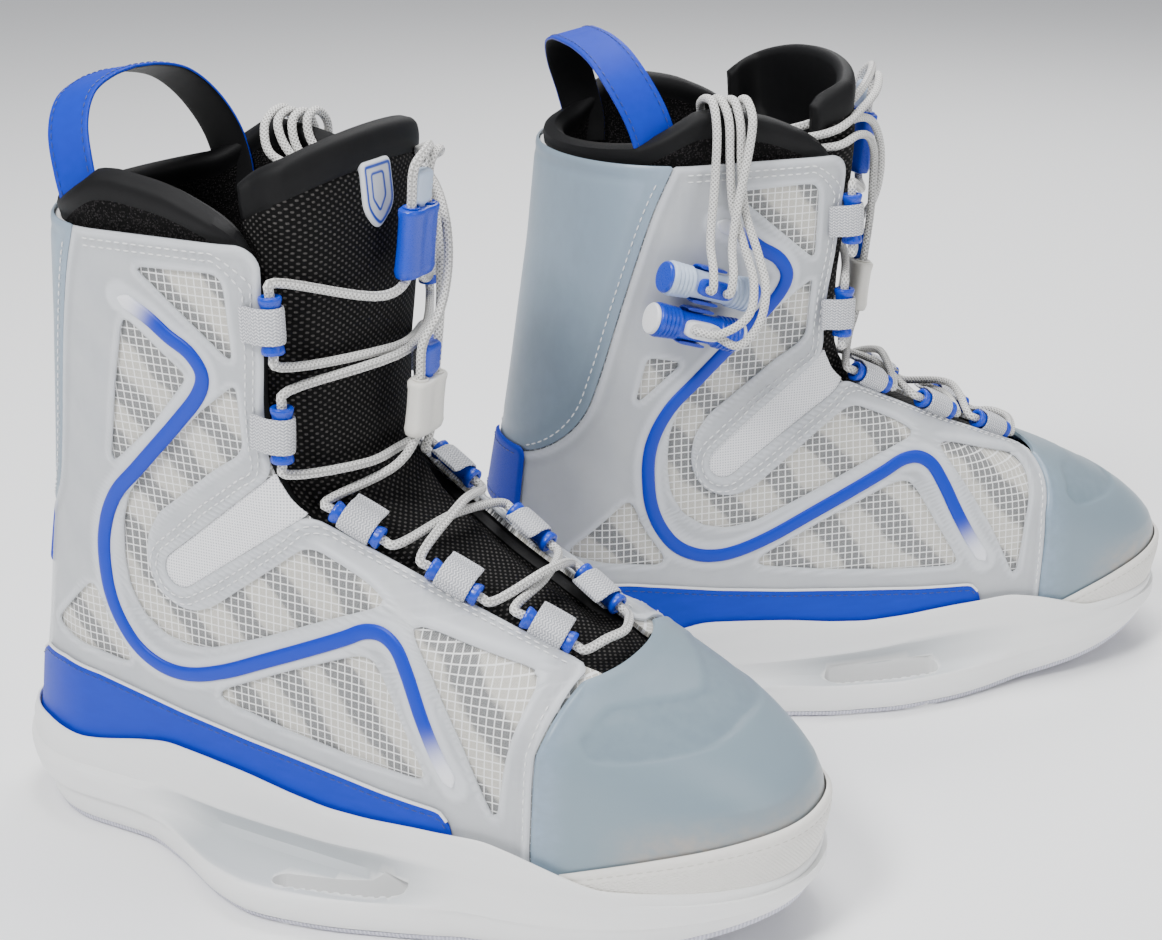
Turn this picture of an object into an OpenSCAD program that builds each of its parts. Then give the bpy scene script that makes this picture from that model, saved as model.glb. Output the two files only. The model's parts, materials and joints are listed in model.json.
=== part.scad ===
// Pair of laced wakeboard boots, standing toe-out on a floor.
// One boot is drawn in its own frame: x runs from heel to toe, y to the left, z up.
// The right boot is drawn directly and the left boot is its mirror image.

/* [View] */
// Which node to draw

/* [Stance] */
// Angle of each boot's toe away from straight ahead, degrees
toe_out = 22.5; // [0:0.5:30]
// Forward place of the right heel, mm
right_x = -235; // [-260:1:-180]
// Sideways place of the right heel, mm
right_y = -22; // [-80:1:0]
// Forward place of the left heel, mm
left_x = -72.3; // [-120:0.1:-20]
// Sideways place of the left heel, mm
left_y = 28; // [0:1:90]

/* [Skins] */
// Thickness of the frosted outer skin, mm
skin_t = 1.2; // [0.8:0.1:2]
// Thickness of the grid-cloth quarter, mm
quarter_t = 1.8; // [1:0.1:3]
// Thickness of the liner wall, mm
liner_t = 6; // [4:0.5:10]
// Gap between one sole layer and the next, mm
layer_gap = 0.1; // [0.05:0.05:0.3]
// Gap between the skin and the cloth under it, mm
skin_gap = 0.6; // [0.3:0.1:1]

/* [Sole] */
// Height of the footbed's underside, mm
floor_z = 27; // [24:0.5:32]
// Thickness of the ribbed outsole, mm
outsole_t = 2.6; // [2:0.1:4]
// Width of the mounting slots, mm
slot_w = 9; // [7:0.5:11]
// Length of the mounting slots, mm
slot_l = 52; // [40:1:60]

/* [Lacing] */
// Radius of the round laces, mm
lace_r = 1.7; // [1.5:0.1:2.5]
// Outer radius of a lace guide tube, mm
guide_r = 3.5; // [3:0.1:4.5]
// Length of a lace guide tube, mm
guide_l = 20; // [16:1:24]
// Width of a webbing loop, mm
web_w = 13; // [10:0.5:15]

/* [Hidden] */

// ---- shape of the boot ----
// Back and front of the upper by height, [z, x]
rear_line = [[0, 6], [26, 2], [40, 7], [60, 10], [84, 15], [100, 18], [127, 23], [150, 27],
  [175, 31], [205, 36], [248, 41], [300, 45]];
front_line = [[20, 320], [35, 328], [50, 331], [60, 328], [68, 320], [77, 309], [88, 289],
  [97, 266], [104, 250], [112, 233], [124, 207], [135, 189], [141, 179], [148, 171], [160, 166],
  [190, 165], [232, 169], [248, 170], [262, 169], [280, 167], [300, 164]];
// Half width low down by length, and higher up by height
foot_half = [[0, 38], [40, 42], [75, 44], [110, 46], [160, 49], [215, 55], [250, 55], [285, 51],
  [333, 46]];
cuff_half = [[70, 46], [130, 44], [150, 46], [175, 49], [205, 53], [245, 56], [300, 58]];
foot_mid = [[0, 0], [200, 0], [260, 1], [333, 6]];
// How far the rounded front reaches back, by height
front_round = [[30, 78], [60, 72], [88, 62], [100, 48], [112, 38], [130, 30], [150, 34],
  [250, 38]];
// Half width of the lacing gap, by height
gap_half = [[89, 0], [93, 13], [100, 20], [110, 24], [124, 29], [141, 37], [150, 42], [170, 46],
  [220, 50], [250, 52]];

function soft(v, T, s) = (lookup(v - s, T) + 2 * lookup(v, T) + lookup(v + s, T)) / 4;
function clamp(v) = min(1, max(0, v));
function ramp(a, b, v) = let (t = clamp((v - a) / (b - a))) t * t * (3 - 2 * t);
function mix(a, b, t) = a + (b - a) * t;
function unit(v) = v / norm(v);
function rear(z) = soft(z, rear_line, 5);
function front(z) = soft(z, front_line, 5);
function wide(x, z) = mix(soft(x, foot_half, 12), soft(z, cuff_half, 8), ramp(60, 150, z));
function cap(d, a, p) = let (u = clamp(d / a)) pow(max(0, 1 - pow(1 - u, p)), 1 / p);
function half(x, z) = wide(x, z) * cap(x - rear(z), 44, 2)
  * cap(front(z) - x, soft(z, front_round, 5), 2.3);
function mid(x, z) = (1 - ramp(60, 150, z)) * soft(x, foot_mid, 12);
// Point on the upper: t is -180 to 180 round from the heel, negative on the outer side
function p0(t, z) = let (x = mix(rear(z), front(z), (1 - cos(t)) / 2))
  [x, mid(x, z) + sign(sin(t)) * half(x, z), z];
function nrm(t, z) = unit(cross(p0(t + 1, z) - p0(t - 1, z), p0(t, z + 1) - p0(t, z - 1)));
// The same point moved inward by d
function q(t, z, d) = p0(t, z) + d * nrm(t, z);
function tx(x, z) = acos(1 - 2 * clamp((x - rear(z)) / (front(z) - rear(z))));
// Edge of the lacing gap
function gap_d(z) = let (r = clamp(soft(z, gap_half, 3) / wide(front(z) - 15, z)))
  soft(z, front_round, 5) * (1 - pow(1 - pow(r, 2.3), 1 / 2.3));
function te(z) = min(tx(front(z) - gap_d(z), z), 179);

// ---- builders ----
// A solid sheet between two offsets of the upper; f gives [t, z] for 0..1 along and up, and
// may add how much deeper the sheet lies there
module sheet(n, m, f, a, b) {
  k = (n + 1) * (m + 1);
  function at(i, j) = j * (n + 1) + i;
  g = [for (j = [0:m]) for (i = [0:n]) f(i / n, j / m)];
  function more(p) = len(p) > 2 ? p[2] : 0;
  pts = concat([for (p = g) q(p[0], p[1], a + more(p))], [for (p = g) q(p[0], p[1], b + more(p))]);
  face = [for (j = [0:m-1]) for (i = [0:n-1]) each [
    [at(i, j), at(i + 1, j), at(i + 1, j + 1)],
    [at(i, j), at(i + 1, j + 1), at(i, j + 1)],
    [k + at(i, j), k + at(i + 1, j + 1), k + at(i + 1, j)],
    [k + at(i, j), k + at(i, j + 1), k + at(i + 1, j + 1)]]];
  low = [for (i = [0:n-1]) each [
    [at(i + 1, 0), at(i, 0), k + at(i, 0)],
    [at(i + 1, 0), k + at(i, 0), k + at(i + 1, 0)],
    [at(i, m), at(i + 1, m), k + at(i + 1, m)],
    [at(i, m), k + at(i + 1, m), k + at(i, m)]]];
  ends = [for (j = [0:m-1]) each [
    [at(0, j), at(0, j + 1), k + at(0, j + 1)],
    [at(0, j), k + at(0, j + 1), k + at(0, j)],
    [at(n, j + 1), at(n, j), k + at(n, j)],
    [at(n, j + 1), k + at(n, j), k + at(n, j + 1)]]];
  polyhedron(pts, concat(face, low, ends), convexity = 8);
}

// Closed rings of points stacked into one solid, first and last ring capped across
module stack(rings) {
  n = len(rings[0]);
  m = len(rings);
  pts = [for (r = rings) each r];
  side = [for (j = [0:m-2]) for (i = [0:n-1]) let (e = (i + 1) % n) each [
    [j * n + i, (j + 1) * n + e, j * n + e],
    [j * n + i, (j + 1) * n + i, (j + 1) * n + e]]];
  h = n / 2;
  bottom = [for (i = [0:h-2]) let (a = i, b = i + 1, c = n - 1 - i, d = n - 2 - i) each [
    [a, b, c], if (b != d) [b, d, c]]];
  top = [for (f = bottom) [for (v = [2, 1, 0]) (m - 1) * n + f[v]]];
  polyhedron(pts, concat(side, bottom, top), convexity = 8);
}

// A tube along a list of points
module tube(P, r, n = 8) {
  m = len(P);
  T = [for (i = [0:m-1]) unit(P[min(m - 1, i + 1)] - P[max(0, i - 1)])];
  s = abs(T[0][2]) > 0.8 ? [1, 0, 0] : [0, 0, 1];
  N = [for (i = 0, v = unit(s - (s * T[0]) * T[0]); i < m; i = i + 1,
    v = i < m ? unit(v - (v * T[i]) * T[i]) : v) v];
  pts = [for (i = [0:m-1]) let (u = N[i], w = cross(T[i], u)) for (a = [0:n-1])
    P[i] + r * (cos(a * 360 / n) * u + sin(a * 360 / n) * w)];
  side = [for (i = [0:m-2]) for (a = [0:n-1]) let (e = (a + 1) % n) each [
    [i * n + a, (i + 1) * n + e, i * n + e],
    [i * n + a, (i + 1) * n + a, (i + 1) * n + e]]];
  polyhedron(pts, concat(side, [[for (a = [0:n-1]) a],
    [for (a = [n-1:-1:0]) (m - 1) * n + a]]), convexity = 10);
}

// Smooth curve through points, k steps between neighbours
function bez(P, i, t) = let (a = P[max(0, i - 1)], b = P[i], c = P[i + 1],
    d = P[min(len(P) - 1, i + 2)])
  0.5 * (2 * b + (c - a) * t + (2 * a - 5 * b + 4 * c - d) * t * t
  + (3 * b - a - 3 * c + d) * t * t * t);
function curve(P, k) = concat([for (i = [0:len(P)-2]) for (j = [0:k-1]) bez(P, i, j / k)],
  [P[len(P) - 1]]);

// Frame with its z axis along a and its x axis as near as can be to o
module on_axis(p, a, o) {
  z = unit(a);
  x = unit(o - (o * z) * z);
  y = cross(z, x);
  multmatrix([[x[0], y[0], z[0], p[0]], [x[1], y[1], z[1], p[1]], [x[2], y[2], z[2], p[2]]])
    children();
}

// ---- sole ----
sole_n = 64;
sole_top = [[0, 27], [12, 30], [40, 38], [60, 42], [90, 48.5], [115, 48], [137, 45.5],
  [165, 40], [185, 39.5], [205, 42], [232, 45], [250, 43], [262, 40], [275, 34.5],
  [333, 33]];
sole_low = [[0, 4], [24, 0], [225, 0], [280, 6], [333, 18]];
wing_out = [[80, 0], [100, 8], [125, 21], [143, 26], [158, 24.5], [177, 19.5], [202, 9],
  [224, 0]];
wing_in = [[105, 0], [125, 5], [150, 12], [178, 14], [203, 10], [225, 4], [242, 0]];
function wing(x, s) = s < 0 ? soft(x, wing_out, 6) : soft(x, wing_in, 6);
// One ring of the sole: level z, grown by b, with share w of the wings, raised by the toe lift
function sole_ring(z, b, w) = [for (i = [0:sole_n-1]) let (t = -180 + 360 * (i + 0.5) / sole_n,
    p = q(t, 40, -b), s = sign(t), lift = soft(p[0], sole_low, 10))
  [p[0], p[1] + s * w * wing(p[0], s), z + lift * clamp((30 - z) / 27)]];
function rim_ring(d, up) = [for (i = [0:sole_n-1]) let (t = -180 + 360 * (i + 0.5) / sole_n,
    a = q(t, 40, 0), z = up ? soft(a[0], sole_top, 6) : floor_z, p = q(t, max(z, 34), d))
  [p[0], p[1], z]];

module slot(s) {
  a = s < 0 ? [176.5, -61.5] : [174, 56.5];
  translate([a[0], a[1], -2]) rotate([0, 0, s < 0 ? 14 : 6]) linear_extrude(34) union() {
    square([slot_l - slot_w, slot_w], center = true);
    translate([(slot_l - slot_w) / 2, 0]) circle(d = slot_w, $fn = 32);
    translate([(slot_w - slot_l) / 2, 0]) circle(d = slot_w, $fn = 32);
    // teeth that grip the clamp washer
    for (k = [0:9]) translate([-19.5 + 4.3 * k, s * slot_w / 2]) circle(r = 1.2, $fn = 16);
  }
}

module slot_end(s, e) {
  a = s < 0 ? [176.5, -61.5] : [174, 56.5];
  translate([a[0], a[1], -2]) rotate([0, 0, s < 0 ? 14 : 6])
    translate([e * (slot_l - slot_w) / 2, 0, 0]) cylinder(d = slot_w, h = 20, $fn = 16);
}

module outsole() {
  color("lavender") difference() {
    stack([sole_ring(0, -1.5, 0.92), sole_ring(0.6 * outsole_t, 0.2, 0.99),
      sole_ring(outsole_t, 0.2, 1)]);
    for (s = [-1, 1]) hull() for (e = [-1, 1]) slot_end(s, e);
    // shallow grooves across the underside
    for (x = [60:26:216]) hull() for (y = [-24, 24]) translate([x - abs(y) / 3, y, -2.6])
      cylinder(r = 3.2, h = 3.6, $fn = 8);
  }
}

module midsole() {
  color("white") difference() {
    stack([sole_ring(outsole_t + layer_gap, 0.8, 1), sole_ring(8, 2.8, 1.06),
      sole_ring(15, 4.2, 1), sole_ring(19, 6.5, 0.66), sole_ring(24, 6.2, 0.3),
      rim_ring(-5.2, true), rim_ring(-3.9, true), rim_ring(-3.9, false)]);
    slot(-1);
    slot(1);
  }
}

module footbed() {
  color("gray") stack([
    [for (i = [0:31]) let (p = q(-180 + 360 * (i + 0.5) / 32, 36, 11)) [p[0], p[1], floor_z + 0.2]],
    [for (i = [0:31]) let (p = q(-180 + 360 * (i + 0.5) / 32, 36, 11)) [p[0], p[1], floor_z + 2.8]]]);
}

// ---- upper ----
base_z = floor_z + 4;
cuff_z = 247;

// Windows of the outer skin: side (0 both, -1 outer, 1 inner), then corners [x, z]
windows = [
  [0, [[105, 232.5], [132, 233.5], [134.5, 230], [134.5, 209]]],
  [0, [[134.5, 192], [134, 174], [121, 163], [107, 168.5]]],
  [0, [[107, 168.5], [121, 163], [96, 144], [85, 146]]],
  [0, [[85, 146], [96, 144], [87, 124], [79.5, 124]]],
  [0, [[79.5, 124], [87, 124], [93, 106], [84.5, 101]]],
  [0, [[84.5, 101], [93, 106], [112, 102], [104, 91.5]]],
  [0, [[104, 91.5], [112, 102], [159, 134], [187, 121]]],
  [0, [[39, 83.5], [60, 103], [74, 78.5]]],
  [0, [[122, 73], [181, 99], [187, 98], [206, 64], [150, 67]]],
  [0, [[205, 113.5], [243, 100], [239, 76], [236.5, 60], [224, 82]]],
  [-1, [[93, 211], [113, 196], [81, 162], [86, 188]]],
  [1, [[67.5, 165.5], [78, 163], [65.5, 151.5]]]];

module window(w) {
  hull() for (c = w[1]) translate([c[0], w[0] < 0 ? 0 : 90, c[1]]) rotate([90, 0, 0])
    cylinder(r = 2, h = w[0] == 0 ? 180 : 90, $fn = 6);
}

module notch(r) {
  hull() for (c = [[102.5, 118.5], [170, 169]])
    translate([c[0], 90, c[1]]) rotate([90, 0, 0]) cylinder(r = r, h = 180, $fn = 12);
}

// Side view of the heel counter, grown by g
module heel_side(g) {
  translate([0, 90, 0]) rotate([90, 0, 0]) linear_extrude(180) offset(delta = g)
    polygon([[-20, 117], [18, 119], [28, 124], [38, 133], [45, 144], [50, 160], [58, 192],
      [68, 228], [77, 260], [-20, 260]]);
}

skin_edge = function (s, v) let (z = mix(base_z, cuff_z, v),
  e = min(te(z), z < 125 ? tx(min(front(z) - 0.5, 249), z) : 179)) [(2 * s - 1) * e, z];

module quarter() {
  color("gainsboro") sheet(30, 9, skin_edge, skin_gap, skin_gap + quarter_t);
}

module overlay() {
  color("aliceblue") difference() {
    sheet(30, 9, skin_edge, -skin_t, 0);
    for (w = windows) window(w);
    notch(7.5);
    heel_side(0.3);
  }
}

module ankle_mesh() {
  color("white") intersection() {
    sheet(30, 9, skin_edge, -0.9, 0);
    notch(7.2);
  }
}

module heel_counter() {
  color("lightsteelblue") intersection() {
    sheet(14, 6, function (s, v) let (z = mix(116, cuff_z, v)) [(2 * s - 1) * tx(80, z), z],
      -skin_t, 0);
    heel_side(0);
  }
}

module heel_tab() {
  color("blue") sheet(5, 2, function (s, v) [(2 * s - 1) * 16, mix(96, 124, v)],
    -3.6, -skin_t - 0.6);
}

cap_edge = function (s, v) let (z = mix(base_z, 98, v), e = tx(mix(250.4, 257, v), z))
  [mix(e, 360 - e, s), z];

module toe_cap() {
  color("lightsteelblue") union() {
    sheet(18, 6, function (s, v) let (p = cap_edge(s, v)) [p[0] > 180 ? p[0] - 360 : p[0], p[1]],
      -skin_t - 0.6, 0);
  }
}

module toe_bumper() {
  color("ivory") sheet(22, 2, function (s, v) let (t = mix(125, 235, s), k = 1 - pow(abs(2 * s - 1), 3),
    z = mix(base_z, mix(38, 52, k), v)) [t > 180 ? t - 360 : t, z], -3.4, -skin_t - 1.15);
}

fox_top = [[0, 71], [40, 70.5], [60, 68.5], [100, 61.8], [130, 58], [160, 55], [190, 52.7],
  [215, 52], [221, 45]];
module foxing() {
  color("blue") sheet(26, 2, function (s, v) let (e = tx(221, 45) * (2 * s - 1), x = p0(e, 45)[0])
    [e, mix(base_z, soft(x, fox_top, 4), v)], -2.8, -skin_t - 0.5);
}

line_xz = [[96, 221], [112, 211], [121, 205.5], [124.5, 198], [121, 189.5], [104, 172], [84, 152],
  [73, 138], [68.5, 122], [70, 104], [77, 88], [90, 79.5], [105, 78.5], [124, 84], [150, 95.5],
  [175, 107.5], [187, 112], [196, 108], [208, 86], [221, 63]];
module side_line() {
  for (s = [-1, 1]) color("blue") tube([for (c = curve(line_xz, 1)) q(s * tx(c[0], c[1]), c[1], -3.6)],
    2.2, 6);
}

// ---- liner and tongue ----
in_d = skin_gap + quarter_t + 0.8;
liner_toe = 6;  // how much deeper the sock lies round the toe
liner_top = [[38, 250], [70, 252], [85, 258], [105, 264], [125, 257], [141, 246], [150, 236]];
module liner() {
  // the wall stops short of the lacing gap; the sock below runs round the toe
  // and its rows up to 7 of 9 lie level with the quarter's, so that the two sheets stay parallel
  color("black") sheet(24, 9, function (s, v) let (u = 2 * s - 1, x = mix(40, 147, pow(abs(u), 0.8)),
    z = v < 0.8 ? mix(base_z, cuff_z, max(v, 0.001))
      : mix(mix(base_z, cuff_z, 7 / 9), soft(x, liner_top, 5), (v - 7 / 9) * 9 / 2),
    t = u * min(178, te(z) - 5))
    [t, z, liner_toe * clamp((abs(t) - 90) / 15) * clamp((140 - z) / 30)], in_d, in_d + liner_t);
}

// Tongue: fills the lacing gap from the toe end up past the cuff
tongue_e = function (s, v) let (z = mix(96, 279, v), e = te(min(z, 250)) - mix(2, 0, v),
  c = z > 246 ? 6 : 0) [mix(e + c, 360 - e - c, s), z];
module tongue() {
  color("dimgray") sheet(10, 14, function (s, v) let (p = tongue_e(s, v))
    [p[0] > 180 ? p[0] - 360 : p[0], p[1]], 2.9, 9);
}
module badge() {
  color("silver") sheet(4, 3, function (s, v) let (z = mix(243, 268, v), k = 1 - 0.25 * pow(1 - v, 2))
    [-177 + (2 * s - 1) * 6 * k, z], 1, 2.7);
}

strap_path = [[72, 44.5, 238], [72, 45, 247], [68, 44, 262], [62, 38, 276], [58, 28, 285],
  [56, 14, 289], [55, 0, 290]];
module pull_strap() {
  P = curve(strap_path, 2);
  m = len(P);
  A = concat(P, [for (i = [m-2:-1:0]) [P[i][0], -P[i][1], P[i][2]]]);
  k = len(A);
  W = [for (i = [0:k-1]) let (t = unit(A[min(k - 1, i + 1)] - A[max(0, i - 1)]),
      w = unit([0.94, 0, 0.2] - ([0.94, 0, 0.2] * t) * t), o = cross(t, w))
    [for (c = [[-9, -1], [9, -1], [9, 1], [-9, 1]]) A[i] + c[0] * w + c[1] * o]];
  color("blue") polyhedron([for (r = W) each r], concat(
    [for (i = [0:k-2]) for (a = [0:3]) let (e = (a + 1) % 4) each [
      [i * 4 + a, (i + 1) * 4 + e, i * 4 + e], [i * 4 + a, (i + 1) * 4 + a, (i + 1) * 4 + e]]],
    [[0, 1, 2, 3], [for (a = [3:-1:0]) (k - 1) * 4 + a]]), convexity = 6);
}

// ---- lacing ----
// Lace guides on the outer side: centre, axis, outward direction
guide = [
  [[153, -52, 219], [-0.03, 0.02, 1], [0.45, -0.89, 0]],
  [[152.5, -48.5, 179], [0.03, 0.03, 1], [0.5, -0.87, 0]],
  [[173, -35, 144.5], [0.87, 0.17, -0.46], [0.3, -0.62, 0.72]],
  [[208, -29, 127], [0.87, 0.18, -0.46], [0.32, -0.55, 0.77]],
  [[240.5, -20.5, 111.5], [0.87, 0.2, -0.45], [0.35, -0.45, 0.82]]];
function flip(p, s) = [p[0], -s * p[1], p[2]];
// A point on guide i's axis, d from its centre, on side s
function on_guide(i, s, d) = flip(guide[i][0] + d * unit(guide[i][1]), s);

module each_guide() {
  for (s = [0, 1]) mirror([0, s, 0]) for (g = guide) on_axis(g[0], g[1], g[2]) children();
}
module lace_guides() {
  color("blue") each_guide() difference() {
    cylinder(r = guide_r, h = guide_l, center = true, $fn = 32);
    cylinder(r = guide_r - 1, h = guide_l + 2, center = true, $fn = 32);
  }
}
module lace_loops() {
  color("silver") each_guide() linear_extrude(web_w, center = true) difference() {
    union() {
      circle(r = guide_r + 1.3, $fn = 32);
      polygon([[4.9, 0], [4.6, -1.9], [-2.3, -8], [-2.4, -11], [-3.6, -11], [-3.5, -7], [0, 0]]);
    }
    circle(r = guide_r + 0.1, $fn = 32);
    translate([-8.6, -2]) square([6, 8]);
  }
}

// Locks on the front of the tongue: foot of each housing and its lean
lower_at = [177, 5, 168];
upper_at = [177.5, 1, 227];
lean = [0.12, 0, 1];
function on_lock(p, y, z) = p + [0, y, 0] + z * unit(lean);

module lock_body(h) {
  difference() {
    linear_extrude(h) union() {
      square([8, 11.6], center = true);
      for (s = [-1, 1]) translate([0, s * 5.8]) circle(r = 4, $fn = 32);
    }
    for (s = [-1, 1]) translate([0, s * 5.4, -1]) cylinder(r = 2.4, h = h + 2, $fn = 24);
    translate([-2.2, -2.3, 4]) cube([4.4, 4.6, h]);
  }
}
module lock_key(h) {
  translate([-2, -2.1, 4.3]) cube([4, 4.2, h - 3]);
  translate([-3, -5.5, h + 2]) cube([6, 11, 11]);
}
module lower_lock() {
  color("white") on_axis(lower_at, lean, [1, 0, 0]) lock_body(21);
}
module lower_wedge() {
  color("blue") on_axis(lower_at, lean, [1, 0, 0]) difference() {
    lock_key(21);
    for (s = [-1, 1]) translate([0, s * 5.4, 20]) cylinder(r = 2.6, h = 20, $fn = 24);
  }
}
module upper_lock() {
  color("blue") on_axis(upper_at, lean, [1, 0, 0]) lock_body(25);
}
module upper_wedge() {
  color("lightsteelblue") on_axis(upper_at, lean, [1, 0, 0]) difference() {
    lock_key(25);
    for (s = [-1, 1]) translate([0, s * 5.4, 24]) cylinder(r = 2.6, h = 20, $fn = 24);
  }
}

// Handles on the inner side of the cuff
out_dir = [0.1, 0.995, 0];
lower_grip = [81.5, 62.5, 183];
upper_grip = [86.5, 63.5, 199.5];
grip_dir = [0.95, -0.1, -0.3];
module grip() {
  difference() {
    rotate_extrude($fn = 48) polygon([[0, -21], [6.2, -21], [7, -20], [7, -15], [5.6, -8],
      [5.6, 8], [7, 15], [7, 20], [6.2, 21], [0, 21]]);
    translate([3.2, -3.6, -8]) cube([6, 7.2, 16]);
  }
}
module core() {
  difference() {
    translate([3.3, -3.5, -7.9]) cube([4.6, 7, 15.8]);
    for (s = [-1, 1]) translate([2, 0, s * 4]) rotate([0, 90, 0]) cylinder(r = 2.35, h = 8, $fn = 24);
  }
}
module lower_handle() {
  color("blue") on_axis(lower_grip, grip_dir, out_dir) grip();
}
module lower_core() {
  color("white") on_axis(lower_grip, grip_dir, out_dir) core();
}
module upper_handle() {
  color("lightsteelblue") on_axis(upper_grip, grip_dir, out_dir) grip();
}
module upper_core() {
  color("blue") on_axis(upper_grip, grip_dir, out_dir) core();
}
module handle_dock() {
  color("blue") for (g = [lower_grip, upper_grip]) on_axis(g, grip_dir, out_dir) {
    translate([-7.6, -6, -6]) cube([1.4, 12, 12]);
    translate([-7.6, -7.6, -6]) cube([9, 1.4, 12]);
    translate([-7.6, 6.2, -6]) cube([9, 1.4, 12]);
  }
}

// Middle of a crossing over the tongue, h above it
function cross_at(x, z, h) = [x + 0.5 * h, 0, z + 0.87 * h];
// Laces from the top of a lock, behind the collar and over it, down to a handle
up_inner = [
  [183, 3, 271.5], [173, 20, 268.5], [160, 33, 263], [146.5, 40, 258.5], [131, 37.5, 254],
  [114, 31.5, 253], [98, 32, 257], [92, 38, 266], [91, 46, 270],
  [90.5, 55, 269.5], [90, 60.5, 261], [89, 62, 240], [86, 66, 217], [84.8, 72.5, 208]];
up_outer = [
  [181, 14, 269], [173.5, 27.5, 265], [161.5, 38.5, 260], [148, 46.5, 254.5], [134, 46.5, 252],
  [118, 45.5, 253], [108.5, 44.5, 260], [105, 47.5, 268], [104.5, 55, 270], [104, 62.5, 264],
  [101.5, 64.6, 250], [97.5, 65.5, 232], [94.5, 67.5, 215], [93, 73, 206]];
low_inner = [
  [184.5, 6, 213], [184, 13.5, 227], [181, 18.5, 241], [173.5, 25.5, 252], [162, 35, 256],
  [147, 41.5, 252.5], [131, 36.5, 248.5], [114, 36, 250], [102, 36.5, 259], [96, 41, 267.5],
  [95.6, 50, 270], [95.6, 58.6, 264], [95.8, 60.4, 248], [97, 61.6, 230], [100, 67.5, 214],
  [101.5, 73.5, 201.5], [98, 77, 190], [86, 76.5, 183.5]];
low_outer = [
  [180.5, 13.5, 213], [178.5, 18, 226], [175.5, 24, 239], [168.5, 33, 247.5], [159, 42, 250.5],
  [148, 47.5, 248], [134, 43, 247], [116, 40.5, 249], [105, 40, 258], [100.5, 44, 267.5],
  [100.2, 53, 269.5], [100.2, 59.5, 262], [100.5, 60.6, 246], [102, 62, 228], [105, 69, 212],
  [106, 75, 199], [102, 77.5, 186], [94, 76.5, 178]];
function back(P) = [for (i = [len(P)-1:-1:0]) P[i]];
// In at one end of guide i and out at the other, on side s; e is 1 from the top end down
function pass(i, s, e) = [for (d = [14, 11, -11, -14]) on_guide(i, s, e * d)];

function grip_hole(g, s, d) = let (z = unit(grip_dir), x = unit(out_dir - (out_dir * z) * z))
  g + d * x + s * 4 * z;

module lower_lace() {
  color("white") tube(concat([grip_hole(lower_grip, -1, 4.2), grip_hole(lower_grip, -1, 10.5)],
    back(low_inner), [for (h = [35, 22, -1]) on_lock(lower_at, -5.4, h)], [[173.5, -8, 158.5]],
    pass(2, -1, -1), [cross_at(190, 136, 4.5)], pass(3, 1, -1), [cross_at(226, 117, 4.5)],
    pass(4, -1, -1), [[257.5, -9, 107], [260, 0, 107], [257.5, 9, 107]],
    pass(4, 1, 1), [cross_at(226, 117, 9.6)], pass(3, -1, 1), [cross_at(190, 136, 9.6)],
    pass(2, 1, 1), [[173.5, 12, 158.5]], [for (h = [-1, 22, 35]) on_lock(lower_at, 5.4, h)],
    low_outer, [grip_hole(lower_grip, 1, 10.5), grip_hole(lower_grip, 1, 4.2)]), lace_r);
}

module upper_lace() {
  color("white") tube(concat([grip_hole(upper_grip, -1, 4.2), grip_hole(upper_grip, -1, 10.5)],
    back(up_inner), [for (h = [39.5, 26, -1]) on_lock(upper_at, -5.4, h)], [[174.5, -14, 222.5]],
    pass(0, -1, 1), [[170, -1, 200]], pass(1, 1, 1), [[168, 20, 162], [168.8, 0, 161.5],
    [168, -20, 162]], pass(1, -1, -1), [[174.6, 0, 199.5]], pass(0, 1, -1), [[174.5, 16, 222.5]],
    [for (h = [-1, 26, 39.5]) on_lock(upper_at, 5.4, h)],
    up_outer, [grip_hole(upper_grip, 1, 10.5), grip_hole(upper_grip, 1, 4.2)]), lace_r);
}

module right_place() {
  translate([right_x, right_y, 0]) rotate([0, 0, -toe_out]) children();
}
module left_place() {
  translate([left_x, left_y, 0]) rotate([0, 0, toe_out]) mirror([0, 1, 0]) children();
}

module right_outsole() { right_place() outsole(); }
module right_midsole() { right_place() midsole(); }
module right_footbed() { right_place() footbed(); }
module right_quarter() { right_place() quarter(); }
module right_overlay() { right_place() overlay(); }
module right_ankle_mesh() { right_place() ankle_mesh(); }
module right_heel_counter() { right_place() heel_counter(); }
module right_heel_tab() { right_place() heel_tab(); }
module right_toe_cap() { right_place() toe_cap(); }
module right_toe_bumper() { right_place() toe_bumper(); }
module right_foxing() { right_place() foxing(); }
module right_side_line() { right_place() side_line(); }
module right_liner() { right_place() liner(); }
module right_tongue() { right_place() tongue(); }
module right_badge() { right_place() badge(); }
module right_pull_strap() { right_place() pull_strap(); }
module right_lace_guides() { right_place() lace_guides(); }
module right_lace_loops() { right_place() lace_loops(); }
module right_lower_lace() { right_place() lower_lace(); }
module right_upper_lace() { right_place() upper_lace(); }
module right_lower_lock() { right_place() lower_lock(); }
module right_lower_wedge() { right_place() lower_wedge(); }
module right_upper_lock() { right_place() upper_lock(); }
module right_upper_wedge() { right_place() upper_wedge(); }
module right_lower_handle() { right_place() lower_handle(); }
module right_lower_core() { right_place() lower_core(); }
module right_upper_handle() { right_place() upper_handle(); }
module right_upper_core() { right_place() upper_core(); }
module right_handle_dock() { right_place() handle_dock(); }
module left_outsole() { left_place() outsole(); }
module left_midsole() { left_place() midsole(); }
module left_footbed() { left_place() footbed(); }
module left_quarter() { left_place() quarter(); }
module left_overlay() { left_place() overlay(); }
module left_ankle_mesh() { left_place() ankle_mesh(); }
module left_heel_counter() { left_place() heel_counter(); }
module left_heel_tab() { left_place() heel_tab(); }
module left_toe_cap() { left_place() toe_cap(); }
module left_toe_bumper() { left_place() toe_bumper(); }
module left_foxing() { left_place() foxing(); }
module left_side_line() { left_place() side_line(); }
module left_liner() { left_place() liner(); }
module left_tongue() { left_place() tongue(); }
module left_badge() { left_place() badge(); }
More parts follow.
